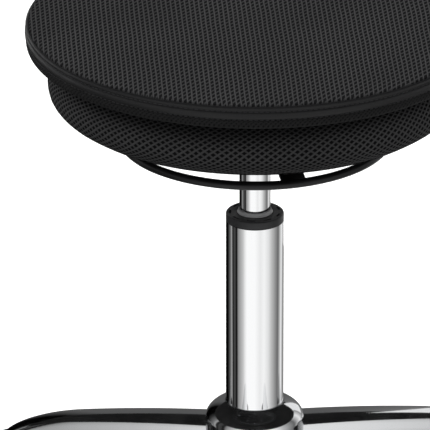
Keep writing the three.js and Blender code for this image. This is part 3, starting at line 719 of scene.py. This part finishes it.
# ---- gas lift ----------------------------------------------------------------------------
class STOOL_OT_gas_lift(bpy.types.Operator):
    """Makes the chromed column, the pressure tube, the guide cap and the wiper"""

    bl_idname = "stool.gas_lift"
    bl_label = "Gas lift"

    def execute(self, context):
        self.column(round_hub()[2], round_node("piston_rod")[0] + 0.3 * MM)
        self.tube(round_node("release_button")[0] + 0.3 * MM)
        tube_radius = round_node("pressure_tube")[0]
        self.guide_cap(tube_radius, FULL_TURN / context.scene.stool_sizes.cap_slots)
        self.wiper(tube_radius)
        return {"FINISHED"}

    def column(self, hub_top, rod):
        """Tube that tapers into the hub, with a floor bored for the piston rod."""
        outer, bottom, top = round_node("column_tube")
        wall = 2.0 * MM
        foot = outer - 1.4 * MM
        profile = [
            (rod, bottom + 3 * MM),
            (rod, bottom),
            (foot, bottom),
            (outer, hub_top),
            (outer, top),
            (outer - wall, top),
            (outer - wall, hub_top),
            (foot - wall, bottom + 3 * MM),
            (rod, bottom + 3 * MM),
        ]
        column = turned_piece("lift_column", eased(profile, 0.6 * MM, 2)[:-1], 160)
        mount(column, look_of("chrome"), "base", "chrome", "column_tube")

    def tube(self, valve):
        """Gas tube, open below, with its valve's bore in the top."""
        outer, bottom, top = round_node("pressure_tube")
        bore = outer - 2.0 * MM
        plug = 31 * MM
        profile = [
            (0, top - plug),
            (bore, top - plug),
            (bore, bottom),
            (outer, bottom),
            (outer, round_node("taper_socket")[1]),
            (outer - 0.8 * MM, top),
            (valve, top),
            (valve, top - 25 * MM),
            (0, top - 25 * MM),
        ]
        tube = turned_piece("lift_tube", eased(profile, 0.5 * MM, 2), 128, closed=False)
        mount(tube, look_of("chrome"), "seat", "chrome", "pressure_tube")

    def wiper(self, tube):
        outer, bottom, top = round_node("wiper_ring")
        profile = [
            *around(tube, bottom, (0.3, 0)),
            *around(outer, bottom, (0, 0), (0, 0.4)),
            *around(tube, bottom, (1.1, 1.0)),
            *around(tube, top, (0.7, 0), (0.3, -0.2)),
        ]
        wiper = turned_piece("lift_wiper", profile, 96)
        # its light grey is partly painted light, standing in for the light and reflection that the shade under
        # the seat takes away
        mount(wiper, look_of("wiper"), "base", "grey_plastic", "wiper_ring")

    def guide_cap(self, tube, spacing):
        """Cap with slots sunk in its top."""
        outer, bottom, top = round_node("guide_cap")
        slot_radius = outer - 3.6 * MM
        slot_depth = 2.0 * MM
        half_width = 1.0 * MM
        half_length = 3.8 * MM
        first_slot = math.radians(30.7 - 90)
        bm = bmesh.new()
        profile = [
            *around(tube, bottom, (0.3, 0)),
            *around(outer, bottom, (-0.3, 0), (0, 0.3)),
            *around(outer, top, (0, -1.2), (-0.3, -0.5), (-0.9, 0)),
            (slot_radius + half_width, top),
            (slot_radius - half_width, top),
            *around(tube, top, (2.6, 0), (1.6, -0.7), (0.3, -0.7)),
        ]
        turned(bm, profile, 144)
        clean(bm)

        def in_slot(face):
            middle = face.calc_center_median()
            out = math.hypot(middle.x, middle.y)
            angle = math.atan2(middle.y, middle.x) - first_slot
            away = abs((angle + spacing / 2) % spacing - spacing / 2)
            on_top = middle.z > top - 0.1 * MM
            return on_top and abs(out - slot_radius) < half_width and away < half_length / slot_radius

        sunk = [face for face in bm.faces if in_slot(face)]
        made = bmesh.ops.extrude_face_region(bm, geom=sunk)["geom"]
        bmesh.ops.translate(bm, verts=only(BMVert, made), vec=(0, 0, -slot_depth))
        bmesh.ops.delete(bm, geom=sunk, context="FACES")
        mount(new_object(bm, "lift_cap"), look_of("cap_plastic"), "base", "black_plastic", "guide_cap")


# ---- base --------------------------------------------------------------------------------
HUB_WALL = 18.3 * MM
DOME_RISE = 20.4 * MM
ARM_BELOW_RIM = 3.2 * MM
ARM_SLOPE = 0.077
ARM_BOW = 0.34
ARM_ROOT = 7.5 * MM
ARM_FLOOR = 8 * MM
ARM_HALF_WIDTHS = (19 * MM, 14 * MM)
ARM_TIP = 14 * MM
NOSE_LENGTH = 80 * MM
NOSE_DROP = 27 * MM
# right half of the arm's section, in half widths and heights, and right half of its hollow below
ARM_SIDE = ((1.0, 0.0), (0.985, 0.35), (0.965, 0.62), (0.93, 0.82), (0.84, 0.925), (0.66, 0.965), (0.36, 0.99))
ARM_HOLLOW = ((0.76, 0.0), (0.66, 0.54), (0.42, 0.68))
ARM_OUTLINE = (
    *ARM_SIDE,
    (0.0, 1.0),
    *((-y, z) for y, z in reversed(ARM_SIDE)),
    *((-y, z) for y, z in ARM_HOLLOW),
    *reversed(ARM_HOLLOW),
)


def round_hub():
    """Radius, bottom and top of the base's hub, which the base's node holds with its arms."""
    radius, bottom, _ = round_node("column_tube")
    return radius + HUB_WALL, bottom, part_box("star_base")[1].z


def arm_directions():
    """Angle and length of each arm, read from the casters' stems."""
    directions = []
    for number in CASTERS:
        low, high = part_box(f"caster_{number}_stem")
        middle = (low + high) / 2
        directions.append((math.atan2(middle.y, middle.x), math.hypot(middle.x, middle.y)))
    return directions


def quarter_round(share):
    """Height of a quarter of a circle, from 1 where the share is 0 or less to 0 where it is 1."""
    share = max(0.0, share)
    return math.sqrt(max(0.0, 1 - share * share))


def arm_frame(share, reach, hub, foot, tip_underside, rim):
    """Matrix that places the unit section at a share of the arm's length."""
    root = hub - ARM_ROOT
    out = root + (reach - root) * share
    past_hub = out - hub
    drop = NOSE_DROP * (1 - quarter_round((out - (reach - NOSE_LENGTH)) / NOSE_LENGTH))
    top = rim - ARM_BELOW_RIM - ARM_SLOPE * past_hub - ARM_BOW * past_hub * past_hub - drop
    bottom = foot + ARM_FLOOR + (tip_underside - foot - ARM_FLOOR) * share**0.8
    at_hub, at_tip = ARM_HALF_WIDTHS
    half = at_hub + (at_tip - at_hub) * share
    half = max(2.5 * MM, half * quarter_round((out - (reach - ARM_TIP)) / ARM_TIP))
    place = Matrix.Translation((out, 0, bottom))
    return place @ Matrix.Diagonal((1, half, max(2 * MM, top - bottom), 1))


class STOOL_OT_star_base(bpy.types.Operator):
    """Makes the hub and the arms of the cast base"""

    bl_idname = "stool.star_base"
    bl_label = "Star base"

    def execute(self, context):
        hub, foot, top = round_hub()
        column = round_node("column_tube")[0]
        dome_end = math.acos((column + 0.8 * MM) / hub)
        rim = top - DOME_RISE * math.sin(dome_end)
        dome = []
        for step in range(17):
            angle = dome_end * step / 16
            rise = math.sin(angle) / math.sin(dome_end)
            dome.append((hub * math.cos(angle), rim + (top - rim) * rise))
        profile = [
            *around(column, foot, (-1.1, 0.1)),
            *around(hub, foot, (-4, 0.1), (-0.3, 4), (0, 20)),
            *dome,
            *around(column, top, (0.3, 0)),
            *around(column, foot, (-1.1, 0.1)),
        ]
        body = turned_piece("base_hub", eased(profile, 1.0 * MM, 3)[:-1], 160, 50)
        mount(body, look_of("polished_aluminium"), "base", "polished_aluminium", "star_base")
        self.arms(hub, foot, rim)
        return {"FINISHED"}

    def arms(self, hub, foot, rim):
        """Arms cast in one with the hub, each with a boss for its caster's stem below its tip."""
        steps = 36
        boss_height = 20 * MM
        past_stem = 15 * MM
        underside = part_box("caster_1_stem")[1].z - boss_height
        for number, (angle, stem_circle) in zip(CASTERS, arm_directions()):
            shape = (stem_circle + past_stem, hub, foot, underside, rim)
            bm = bmesh.new()
            verts = [bm.verts.new((0, y, z)) for y, z in ARM_OUTLINE]
            edges = [bm.edges.new(pair) for pair in zip(verts, verts[1:] + verts[:1])]
            before = arm_frame(0.0, *shape)
            bmesh.ops.transform(bm, matrix=before, verts=verts)
            bmesh.ops.contextual_create(bm, geom=edges)
            for step in range(1, steps + 1):
                share = math.sin(math.pi / 2 * step / steps)
                made = bmesh.ops.extrude_edge_only(bm, edges=edges)["geom"]
                verts = only(BMVert, made)
                edges = only(BMEdge, made)
                after = arm_frame(share, *shape)
                bmesh.ops.transform(bm, matrix=after @ before.inverted(), verts=verts)
                before = after
            bmesh.ops.contextual_create(bm, geom=edges)
            bmesh.ops.create_cone(
                bm,
                cap_ends=True,
                segments=48,
                radius1=13 * MM,
                radius2=12.4 * MM,
                depth=boss_height,
                matrix=Matrix.Translation((stem_circle, 0, underside + 10.1 * MM)),
            )
            turn = Matrix.Rotation(angle, 3, "Z")
            bmesh.ops.rotate(bm, verts=bm.verts, cent=(0, 0, 0), matrix=turn)
            arm = new_object(bm, f"base_arm_{number}", 50)
            mount(arm, look_of("polished_aluminium"), "base", "polished_aluminium")


# ---- release ring ------------------------------------------------------------------------
class STOOL_OT_release_ring(bpy.types.Operator):
    """Makes the release hoop with its three cranked spokes and its disc"""

    bl_idname = "stool.release_ring"
    bl_label = "Release ring"

    def execute(self, context):
        low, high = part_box("release_ring")
        hoop = 119.5 * MM
        rod = 4.0 * MM
        disc_radius = 30 * MM
        half = 1.5 * MM
        ring_z = low.z + rod * math.cos(math.radians(22.5))
        disc_z = high.z - half
        bm = bmesh.new()
        place = Matrix.Translation((hoop, 0, ring_z)) @ Matrix.Rotation(math.pi / 2, 4, "X")
        section = bmesh.ops.create_circle(bm, segments=20, radius=rod, matrix=place)
        spun(bm, with_geometry(section["verts"]), 144, use_merge=True)
        disc = [
            (0, disc_z - half),
            (disc_radius, disc_z - half),
            (disc_radius, disc_z + half),
            (0, disc_z + half),
        ]
        turned(bm, disc, 72, closed=False)
        offset = 18.2 * MM
        end = math.sqrt(hoop**2 - offset**2)
        path = [
            *around(0, disc_z, (6, 0), (28, 0), (36, -2.6)),
            *around(0, ring_z, (82, 2.4), (90, 0), (104, 0)),
            (end, ring_z),
        ]
        for turn in range(3):
            self.spoke(bm, path, half, math.radians(-82 + 120 * turn), offset)
        ring = new_object(bm, "release_hoop", 40)
        rounded_edges(ring, 0.5 * MM)
        mount(ring, look_of("black_steel"), "release", "black_steel", "release_ring")
        return {"FINISHED"}

    def spoke(self, bm, path, half, angle, offset):
        """Flat strip that follows a path of [radius, height] points, set off sideways."""
        half_width = 11 * MM
        near = [bm.verts.new((out, -half_width, height - half)) for out, height in path]
        edges = [bm.edges.new(pair) for pair in zip(near, near[1:])]
        made = bmesh.ops.extrude_edge_only(bm, edges=edges)["geom"]
        bmesh.ops.scale(bm, vec=(1, -1, 1), verts=only(BMVert, made))
        thick = bmesh.ops.extrude_face_region(bm, geom=only(BMFace, made))["geom"]
        bmesh.ops.translate(bm, vec=(0, 0, 2 * half), verts=only(BMVert, thick))
        whole = connected(near[0])
        bmesh.ops.translate(bm, vec=(0, offset, 0), verts=whole)
        bmesh.ops.rotate(bm, cent=(0, 0, 0), matrix=Matrix.Rotation(angle, 3, "Z"), verts=whole)


# ---- casters -----------------------------------------------------------------------------
AXLE_BORE = 3.3 * MM
WEB_HALF = 7.5 * MM


class STOOL_OT_casters(bpy.types.Operator):
    """Makes the five twin-wheel casters"""

    bl_idname = "stool.casters"
    bl_label = "Casters"

    def execute(self, context):
        for number in CASTERS:
            self.wheel(number, "right", 1)
            self.wheel(number, "left", -1)
            self.body(number)
            self.stem(number)
        return {"FINISHED"}

    def wheel(self, number, name, side):
        node = f"caster_{number}_wheel_{name}"
        low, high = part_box(node)
        middle = (low + high) / 2
        radius = (high.z - low.z) / 2
        half = (high.x - low.x) / 2
        tread = [(-3.0, 0), (-0.7, 1.0), (0, 3.2)]
        face = [(-2.4, 0), (-4.6, 0), (-5.6, -1.6), (-12.5, -2.4), (-13.4, -1.0), (-18.4, -0.8), (-19.0, -1.6)]
        profile = [
            (AXLE_BORE, -half),
            *around(radius, -half, *tread),
            *around(radius, half, (0, -3.2), (-0.7, -1.0), *face),
            (AXLE_BORE, half - 1.6 * MM),
        ]
        bm = bmesh.new()
        turned(bm, eased(profile, 0.8 * MM, 2), 72)
        turn = Matrix.Rotation(side * math.pi / 2, 4, "Y")
        bmesh.ops.transform(bm, matrix=Matrix.Translation(middle) @ turn, verts=bm.verts)
        wheel = new_object(bm, f"caster_{number}_tyre_{name}")
        mount(wheel, look_of("caster_tread"), f"caster_{number}_{name}", "caster_tread", node)

    def body(self, number):
        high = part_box(f"caster_{number}_body")[1]
        wheel_low, wheel_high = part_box(f"caster_{number}_wheel_right")
        stem_low, stem_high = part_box(f"caster_{number}_stem")
        stem = (stem_low + stem_high) / 2
        axle = (wheel_low + wheel_high) / 2
        axle.x = stem.x
        radius = (wheel_high.z - wheel_low.z) / 2
        bm = bmesh.new()
        self.hood(bm, high.x - stem.x, radius, axle)
        self.web(bm, radius, axle)
        before = set(bm.verts)
        boss = [
            (0, high.z - 20 * MM),
            *around(WEB_HALF, high.z, (0, -20), (0, -1), (-0.8, 0)),
            *around(5.8 * MM, high.z, (0, 0), (0, -16.3)),
            (0, high.z - 16.3 * MM),
        ]
        turned(bm, boss, 48, closed=False)
        boss_verts = [vert for vert in bm.verts if vert not in before]
        bmesh.ops.translate(bm, vec=(stem.x, stem.y, 0), verts=boss_verts)
        body = new_object(bm, f"caster_{number}_hood")
        rounded_edges(body, 0.35 * MM)
        mount(body, look_of("black_plastic"), f"caster_{number}", "black_plastic", f"caster_{number}_body")

    def hood(self, bm, half_width, radius, axle):
        """Strip across both wheels, swept round the axle."""
        inner = radius + 1.3 * MM
        outer = radius + 3.3 * MM
        strip = [
            (-half_width, inner),
            (half_width, inner),
            *around(half_width, outer, (0, -0.9), (-1.6, 0)),
            (0, outer + 0.25 * MM),
            *around(-half_width, outer, (1.6, 0), (0, -0.9)),
        ]
        start = math.radians(12)
        verts = []
        for x, out in strip:
            place = (axle.x + x, axle.y + out * math.cos(start), axle.z + out * math.sin(start))
            verts.append(bm.verts.new(place))
        face = bm.faces.new(verts)
        whole = [face] + list(face.edges) + verts
        sweep = math.radians(160)
        bmesh.ops.spin(bm, geom=whole, cent=axle, axis=(1, 0, 0), angle=sweep, steps=32)

    def web(self, bm, radius, axle):
        """Plate between the wheels, with its bore for the axle and a lobe towards the stem."""
        reach = radius - 8 * MM
        outline = bmesh.ops.create_circle(bm, segments=48, radius=reach)["verts"]
        hole = bmesh.ops.create_circle(bm, segments=48, radius=AXLE_BORE)["verts"]
        sheet = bmesh.ops.bridge_loops(bm, edges=edges_at(outline + hole))["faces"]
        for vert in outline:
            if vert.co.x > 0.2 * radius and vert.co.y > 0:
                vert.co += Vector((22 * MM * vert.co.x / reach, 8 * MM, 0))
        thick = bmesh.ops.extrude_face_region(bm, geom=sheet)["geom"]
        bmesh.ops.translate(bm, vec=(0, 0, 2 * WEB_HALF), verts=only(BMVert, thick))
        lay = Matrix(((0, 0, 1, axle.x - WEB_HALF), (1, 0, 0, axle.y), (0, 1, 0, axle.z), (0, 0, 0, 1)))
        bmesh.ops.transform(bm, matrix=lay, verts=connected(outline[0]))

    def stem(self, number):
        low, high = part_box(f"caster_{number}_stem")
        middle = (low + high) / 2
        pin = [(4.6, 0), (5.5, 0.9), (5.5, 16.3), (8.0, 16.3), (8.0, 19.1), (5.5, 19.1)]
        tip = [(5.5, -7), (4.7, -6.6), (4.7, -4.4), (5.5, -4), (5.5, -1.4), (4.2, 0)]
        profile = [(0, low.z), *around(0, low.z, *pin), *around(0, high.z, *tip), (0, high.z)]
        bm = bmesh.new()
        turned(bm, eased(profile, 0.3 * MM, 2), 40, closed=False)
        bmesh.ops.translate(bm, vec=(middle.x, middle.y, 0), verts=bm.verts)
        stem = new_object(bm, f"caster_{number}_pin")
        mount(stem, look_of("zinc_steel"), "base", "zinc_steel", f"caster_{number}_stem")


# ---- fasteners ---------------------------------------------------------------------------
class STOOL_OT_fasteners(bpy.types.Operator):
    """Makes the seat's screws and bolts with hexagon sockets in their heads"""

    bl_idname = "stool.fasteners"
    bl_label = "Fasteners"

    def execute(self, context):
        for kind, count, shank in (("plate_screw", 4, 2.5 * MM), ("tie_bolt", 3, 3 * MM)):
            for number in range(1, count + 1):
                self.bolt(f"{kind}_{number}", shank, 3 * MM)
        return {"FINISHED"}

    def bolt(self, node, shank, head):
        low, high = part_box(node)
        middle = (low + high) / 2
        radius = (high.x - low.x) / 2
        segments = 24
        socket = shank * 0.9
        bm = bmesh.new()
        bmesh.ops.create_circle(bm, segments=segments, radius=radius - 0.7 * MM)
        corners = bmesh.ops.create_circle(bm, segments=6, radius=socket)["verts"]
        bmesh.ops.subdivide_edges(bm, edges=edges_at(corners), cuts=segments // 6 - 1)
        bmesh.ops.bridge_loops(bm, edges=list(bm.edges))
        open_edges = [edge for edge in bm.edges if edge.is_boundary]
        inner = [edge for edge in open_edges if all(vert.co.length < socket * 1.01 for vert in edge.verts)]
        deep = bmesh.ops.extrude_edge_only(bm, edges=inner)["geom"]
        bmesh.ops.translate(bm, vec=(0, 0, 1.7 * MM), verts=only(BMVert, deep))
        bmesh.ops.contextual_create(bm, geom=only(BMEdge, deep))
        rim = [edge for edge in bm.edges if edge.is_boundary]
        for out, height in ((radius, 0.9 * MM), (radius, head), (shank, head), (shank, high.z - low.z)):
            made = bmesh.ops.extrude_edge_only(bm, edges=rim)["geom"]
            verts = only(BMVert, made)
            rim = only(BMEdge, made)
            now = math.hypot(verts[0].co.x, verts[0].co.y)
            bmesh.ops.scale(bm, vec=(out / now, out / now, 1), verts=verts)
            bmesh.ops.translate(bm, vec=(0, 0, height - verts[0].co.z), verts=verts)
        bmesh.ops.contextual_create(bm, geom=rim)
        bmesh.ops.translate(bm, vec=(middle.x, middle.y, low.z), verts=bm.verts)
        mount(new_object(bm, f"{node}_body", 30), look_of("zinc_steel"), "seat", "zinc_steel", node)


class STOOL_OT_frame_finishes(bpy.types.Operator):
    """Gives the CAD parts that stay their finishes, each by its slot"""

    bl_idname = "stool.frame_finishes"
    bl_label = "Frame finishes"

    def execute(self, context):
        slots = {part["node"]: part["material_slot"] for part in frame["record"]["subparts"]}
        for name, obj in frame["nodes"].items():
            finish = slots[name]
            look = look_of("lower_mesh" if finish == "mesh_fabric" else finish)
            for material_slot in obj.material_slots:
                material_slot.material = look
        return {"FINISHED"}


# ---- stage -------------------------------------------------------------------------------
# degrees to the right of the front, and how bright the studio's panels are there
STUDIO = (
    (-180, 0.1), (-158, 0.1), (-148, 0.0), (-131, 0.0), (-121, 0.03), (-112, 0.11), (-105, 0.18),
    (-99, 0.4), (-95.5, 0.02), (-92, 0.005), (-87, 0.055), (-80, 0.05), (-76, 0.005), (-71, 0.012),
    (-67, 0.24), (-45, 0.57), (-38, 0.8), (-30, 0.98), (0, 0.98), (20, 0.83), (36, 0.92), (53, 0.75),
    (67, 0.5), (83, 0.3), (100, 0.13), (110, 0.4), (124, 0.86), (136, 0.33), (152, 0.2), (168, 0.1),
    (180, 0.1),
)
# by the sine of the height: what mirrors see of the room, and what lights matt things
MIRRORED = ((0.0, 0.9), (0.22, 0.75), (0.36, 0.08), (0.45, 0.012), (1.0, 0.004))
LIGHTING = ((0.0, 0.05), (0.3, 0.25), (0.7, 1.15), (1.0, 1.5))


class STOOL_OT_stage(bpy.types.Operator):
    """Makes the floor, the reflected studio, the lights and the camera"""

    bl_idname = "stool.stage"
    bl_label = "Stage"

    def execute(self, context):
        scene = context.scene
        stage = scene.stool_stage
        scene.view_settings.view_transform = "Standard"
        self.floor(stage)
        self.surround(stage)
        self.card("stage_card", low=(0.2, 0.13), high=(0.43, 0.42), away=0.42, glow=0.9)
        self.world(scene, stage)
        self.lamp("key", (-1.5, -0.9, 2.5), 1.6, stage.key_power)
        self.lamp("fill", (1.6, -1.2, 2.3), 1.8, stage.fill_power)
        self.lamp("back", (0.3, 2.2, 2.0), 1.6, stage.back_power)
        self.camera(scene, stage)
        return {"FINISHED"}

    def floor(self, stage):
        bm = bmesh.new()
        below = Matrix.Translation((0, 0, -0.3 * MM))
        bmesh.ops.create_grid(bm, x_segments=1, y_segments=1, size=6, matrix=below)
        floor = new_object(bm, "stage_floor")
        look = Look("stage_floor", stage.floor_color, 0.9)
        look.shader.inputs["Specular IOR Level"].default_value = 0.0
        look.shader.inputs["Emission Color"].default_value = (1, 1, 1, 1)
        bounced = look.add("ShaderNodeLightPath").outputs["Is Diffuse Ray"]
        glow = look.math("MULTIPLY", look.math("SUBTRACT", 1.0, bounced), stage.floor_glow)
        look.join(glow, look.shader.inputs["Emission Strength"])
        look.color(look.tint(bounced, tuple(stage.floor_color), (0.2, 0.2, 0.2)))
        floor.data.materials.append(look.material)

    def surround(self, stage):
        """Ring of white and dark studio panels that only reflections see."""
        profile = [(0.06, 0.003), (0.56, 0.003), (0.56, 0.40)]
        panels = turned_piece("stage_panels", profile, 128, closed=False)
        material = bpy.data.materials.new("stage_panels")
        graph = Graph(material)
        graph.nodes.clear()
        x, y, _ = graph.split(graph.add("ShaderNodeTexCoord").outputs["Object"])
        angle = graph.math("ARCTAN2", x, graph.math("MULTIPLY", y, -1.0))
        share = graph.math("MULTIPLY_ADD", angle, 1 / FULL_TURN, 0.5)
        glow = graph.add("ShaderNodeEmission")
        glow.inputs["Strength"].default_value = stage.panel_glow
        levels = [(degrees / 360 + 0.5, level) for degrees, level in STUDIO]
        graph.join(graph.greys(share, levels), glow.inputs["Color"])
        output = graph.add("ShaderNodeOutputMaterial")
        graph.join(glow.outputs[0], output.inputs["Surface"])
        panels.data.materials.append(material)
        self.only_mirrored(panels)

    def card(self, name, low, high, away, glow):
        """Upright card behind the chair, from its low corner to its high one."""
        bm = bmesh.new()
        corners = ((low[0], low[1]), (high[0], low[1]), (high[0], high[1]), (low[0], high[1]))
        bm.faces.new([bm.verts.new((x, away, z)) for x, z in corners])
        card = new_object(bm, name)
        look = Look(name, (0, 0, 0), 1.0)
        look.shader.inputs["Specular IOR Level"].default_value = 0.0
        look.shader.inputs["Emission Color"].default_value = (1, 1, 1, 1)
        look.shader.inputs["Emission Strength"].default_value = glow
        card.data.materials.append(look.material)
        self.only_mirrored(card)

    def only_mirrored(self, thing):
        """Keeps a part of the stage out of everything but reflections."""
        thing.visible_camera = False
        thing.visible_diffuse = False
        thing.visible_shadow = False
        thing.visible_transmission = False
        thing.visible_volume_scatter = False

    def world(self, scene, stage):
        """White room for the eye and the soft light; a darker upper half for mirrors."""
        world = bpy.data.worlds.new("studio")
        scene.world = world
        graph = Graph(world)
        graph.nodes.clear()
        path = graph.add("ShaderNodeLightPath")
        _, _, height = graph.split(graph.add("ShaderNodeTexCoord").outputs["Generated"])
        lighting = graph.greys(height, LIGHTING)
        mirrored = graph.greys(height, MIRRORED)
        seen = graph.tint(path.outputs["Is Glossy Ray"], lighting, mirrored)
        white = graph.tint(path.outputs["Is Camera Ray"], seen, (1.1, 1.1, 1.1))
        light = graph.add("ShaderNodeBackground")
        light.inputs["Strength"].default_value = stage.world_glow
        output = graph.add("ShaderNodeOutputWorld")
        graph.join(white, light.inputs["Color"])
        graph.join(light.outputs[0], output.inputs["Surface"])

    def lamp(self, name, place, size, power):
        data = bpy.data.lights.new(name, "AREA")
        data.shape = "DISK"
        data.size = size
        data.energy = power
        lamp = bpy.data.objects.new(name, data)
        lamp.location = place
        lamp.visible_glossy = False
        lamp.rotation_euler = (Vector((0, 0, 0.4)) - Vector(place)).to_track_quat("-Z", "Y").to_euler()
        bpy.context.scene.collection.objects.link(lamp)

    def camera(self, scene, stage):
        data = bpy.data.cameras.new("camera")
        data.lens = stage.lens
        data.clip_end = 100
        camera = bpy.data.objects.new("camera", data)
        target = Vector((stage.aim_x, 0, stage.aim_z))
        back = Vector((0, -math.cos(stage.elevation), math.sin(stage.elevation)))
        camera.location = target + back * stage.distance
        camera.rotation_euler = (-back).to_track_quat("-Z", "Y").to_euler()
        scene.collection.objects.link(camera)
        scene.camera = camera


# ---- settings ----------------------------------------------------------------------------
def shade(name, description, default):
    return bpy.props.FloatVectorProperty(
        name=name, description=description, default=default, subtype="COLOR", size=3, min=0, max=1
    )


def amount(name, description, default, **settings):
    return bpy.props.FloatProperty(name=name, description=description, default=default, **settings)


def length(name, description, default):
    return amount(name, description, default, unit="LENGTH", min=0)


def number_of(name, description, default, least):
    return bpy.props.IntProperty(name=name, description=description, default=default, min=least)


class StoolSizes(bpy.types.PropertyGroup):
    """Sizes of the soft parts and the small details"""

    pad_swell: length("Pad swell", "How far the top pad's padding lifts its cover", 1.6 * MM)
    cushion_swell: length("Cushion swell", "How far the lower cushion's side bulges", 2.4 * MM)
    stitch_pitch: length("Stitch pitch", "Length of one stitch and its gap", 4.8 * MM)
    cap_slots: number_of("Cap slots", "Slots in the lift's guide cap", 9, 3)
    staples: number_of("Staples", "Staples in the lower cover's hem", 60, 3)


class StoolFinishes(bpy.types.PropertyGroup):
    """Colours of the finishes and the fabric's lattice"""

    yarn: shade("Yarn", "Colour of the mesh fabric's yarn", (0.045, 0.045, 0.046))
    mesh_hole: shade("Mesh hole", "Colour seen through the mesh's holes", (0.008, 0.008, 0.0085))
    vinyl: shade("Vinyl", "Colour of the border band", (0.009, 0.009, 0.0095))
    chrome: shade("Chrome", "Tint of the chrome plating", (0.90, 0.905, 0.91))
    aluminium: shade("Aluminium", "Tint of the polished base", (0.80, 0.81, 0.82))
    coating: shade("Coating", "Colour of the black coated and moulded parts", (0.011, 0.011, 0.012))
    wale: length("Wale", "Distance between the top mesh's main yarns", 4.16 * MM)
    bridge: length("Bridge", "Distance between the top mesh's bridges, along Y", 7.4 * MM)
    diamond: length("Diamond", "Height of one diamond of the lower mesh", 6.2 * MM)
    mesh_turn: amount("Mesh turn", "How far the top mesh's rows lean from the Y axis, in degrees", 3.0)
    mesh_rows: number_of("Mesh rows", "Cells of the mesh round the lower cushion", 149, 12)


class StoolStage(bpy.types.PropertyGroup):
    """Camera and light"""

    lens: amount("Lens", "Focal length in millimetres", 748.8)
    distance: length("Distance", "From the camera to the point it looks at", 8.0)
    elevation: amount("Elevation", "Height of the view", math.radians(22.76), unit="ROTATION")
    aim_x: amount("Aim X", "Point looked at", -35.7 * MM, unit="LENGTH")
    aim_z: amount("Aim Z", "Point looked at", 325 * MM, unit="LENGTH")
    key_power: amount("Key", "Power of the key light", 26, unit="POWER")
    fill_power: amount("Fill", "Power of the fill light", 10, unit="POWER")
    back_power: amount("Back", "Power of the back light", 14, unit="POWER")
    world_glow: amount("Room", "Brightness of the white room", 0.9)
    floor_glow: amount("Floor glow", "Own light of the floor", 0.35)
    panel_glow: amount("Panel glow", "Brightness of the panels", 1.08)
    floor_color: shade("Floor", "Colour of the floor", (0.92, 0.92, 0.92))


class STOOL_PT_panel(bpy.types.Panel):
    """Lists the stool's pieces and its settings"""

    bl_label = "Stool"
    bl_idname = "STOOL_PT_panel"
    bl_space_type = "VIEW_3D"
    bl_region_type = "UI"
    bl_category = "Stool"

    def draw(self, context):
        scene = context.scene
        for operator in OPERATORS:
            self.layout.operator(operator.bl_idname)
        for group in (scene.stool_sizes, scene.stool_finishes, scene.stool_stage):
            box = self.layout.box()
            for name in group.__annotations__:
                box.prop(group, name)


OPERATORS = (
    STOOL_OT_frame_finishes,
    STOOL_OT_top_pad,
    STOOL_OT_border_band,
    STOOL_OT_lower_cushion,
    STOOL_OT_underside,
    STOOL_OT_gas_lift,
    STOOL_OT_star_base,
    STOOL_OT_release_ring,
    STOOL_OT_casters,
    STOOL_OT_fasteners,
    STOOL_OT_stage,
)
GROUPS = {"stool_sizes": StoolSizes, "stool_finishes": StoolFinishes, "stool_stage": StoolStage}


def register():
    for item in (*GROUPS.values(), *OPERATORS, STOOL_PT_panel):
        bpy.utils.register_class(item)
    for name, group in GROUPS.items():
        setattr(bpy.types.Scene, name, bpy.props.PointerProperty(type=group))


def unregister():
    for name in GROUPS:
        delattr(bpy.types.Scene, name)
    for item in (STOOL_PT_panel, *reversed(OPERATORS), *reversed(GROUPS.values())):
        bpy.utils.unregister_class(item)


def main():
    register()
    bpy.ops.stool.frame_finishes()
    bpy.ops.stool.top_pad()
    bpy.ops.stool.border_band()
    bpy.ops.stool.lower_cushion()
    bpy.ops.stool.underside()
    bpy.ops.stool.gas_lift()
    bpy.ops.stool.star_base()
    bpy.ops.stool.release_ring()
    bpy.ops.stool.casters()
    bpy.ops.stool.fasteners()
    bpy.ops.stool.stage()


if __name__ == "__main__":
    main()
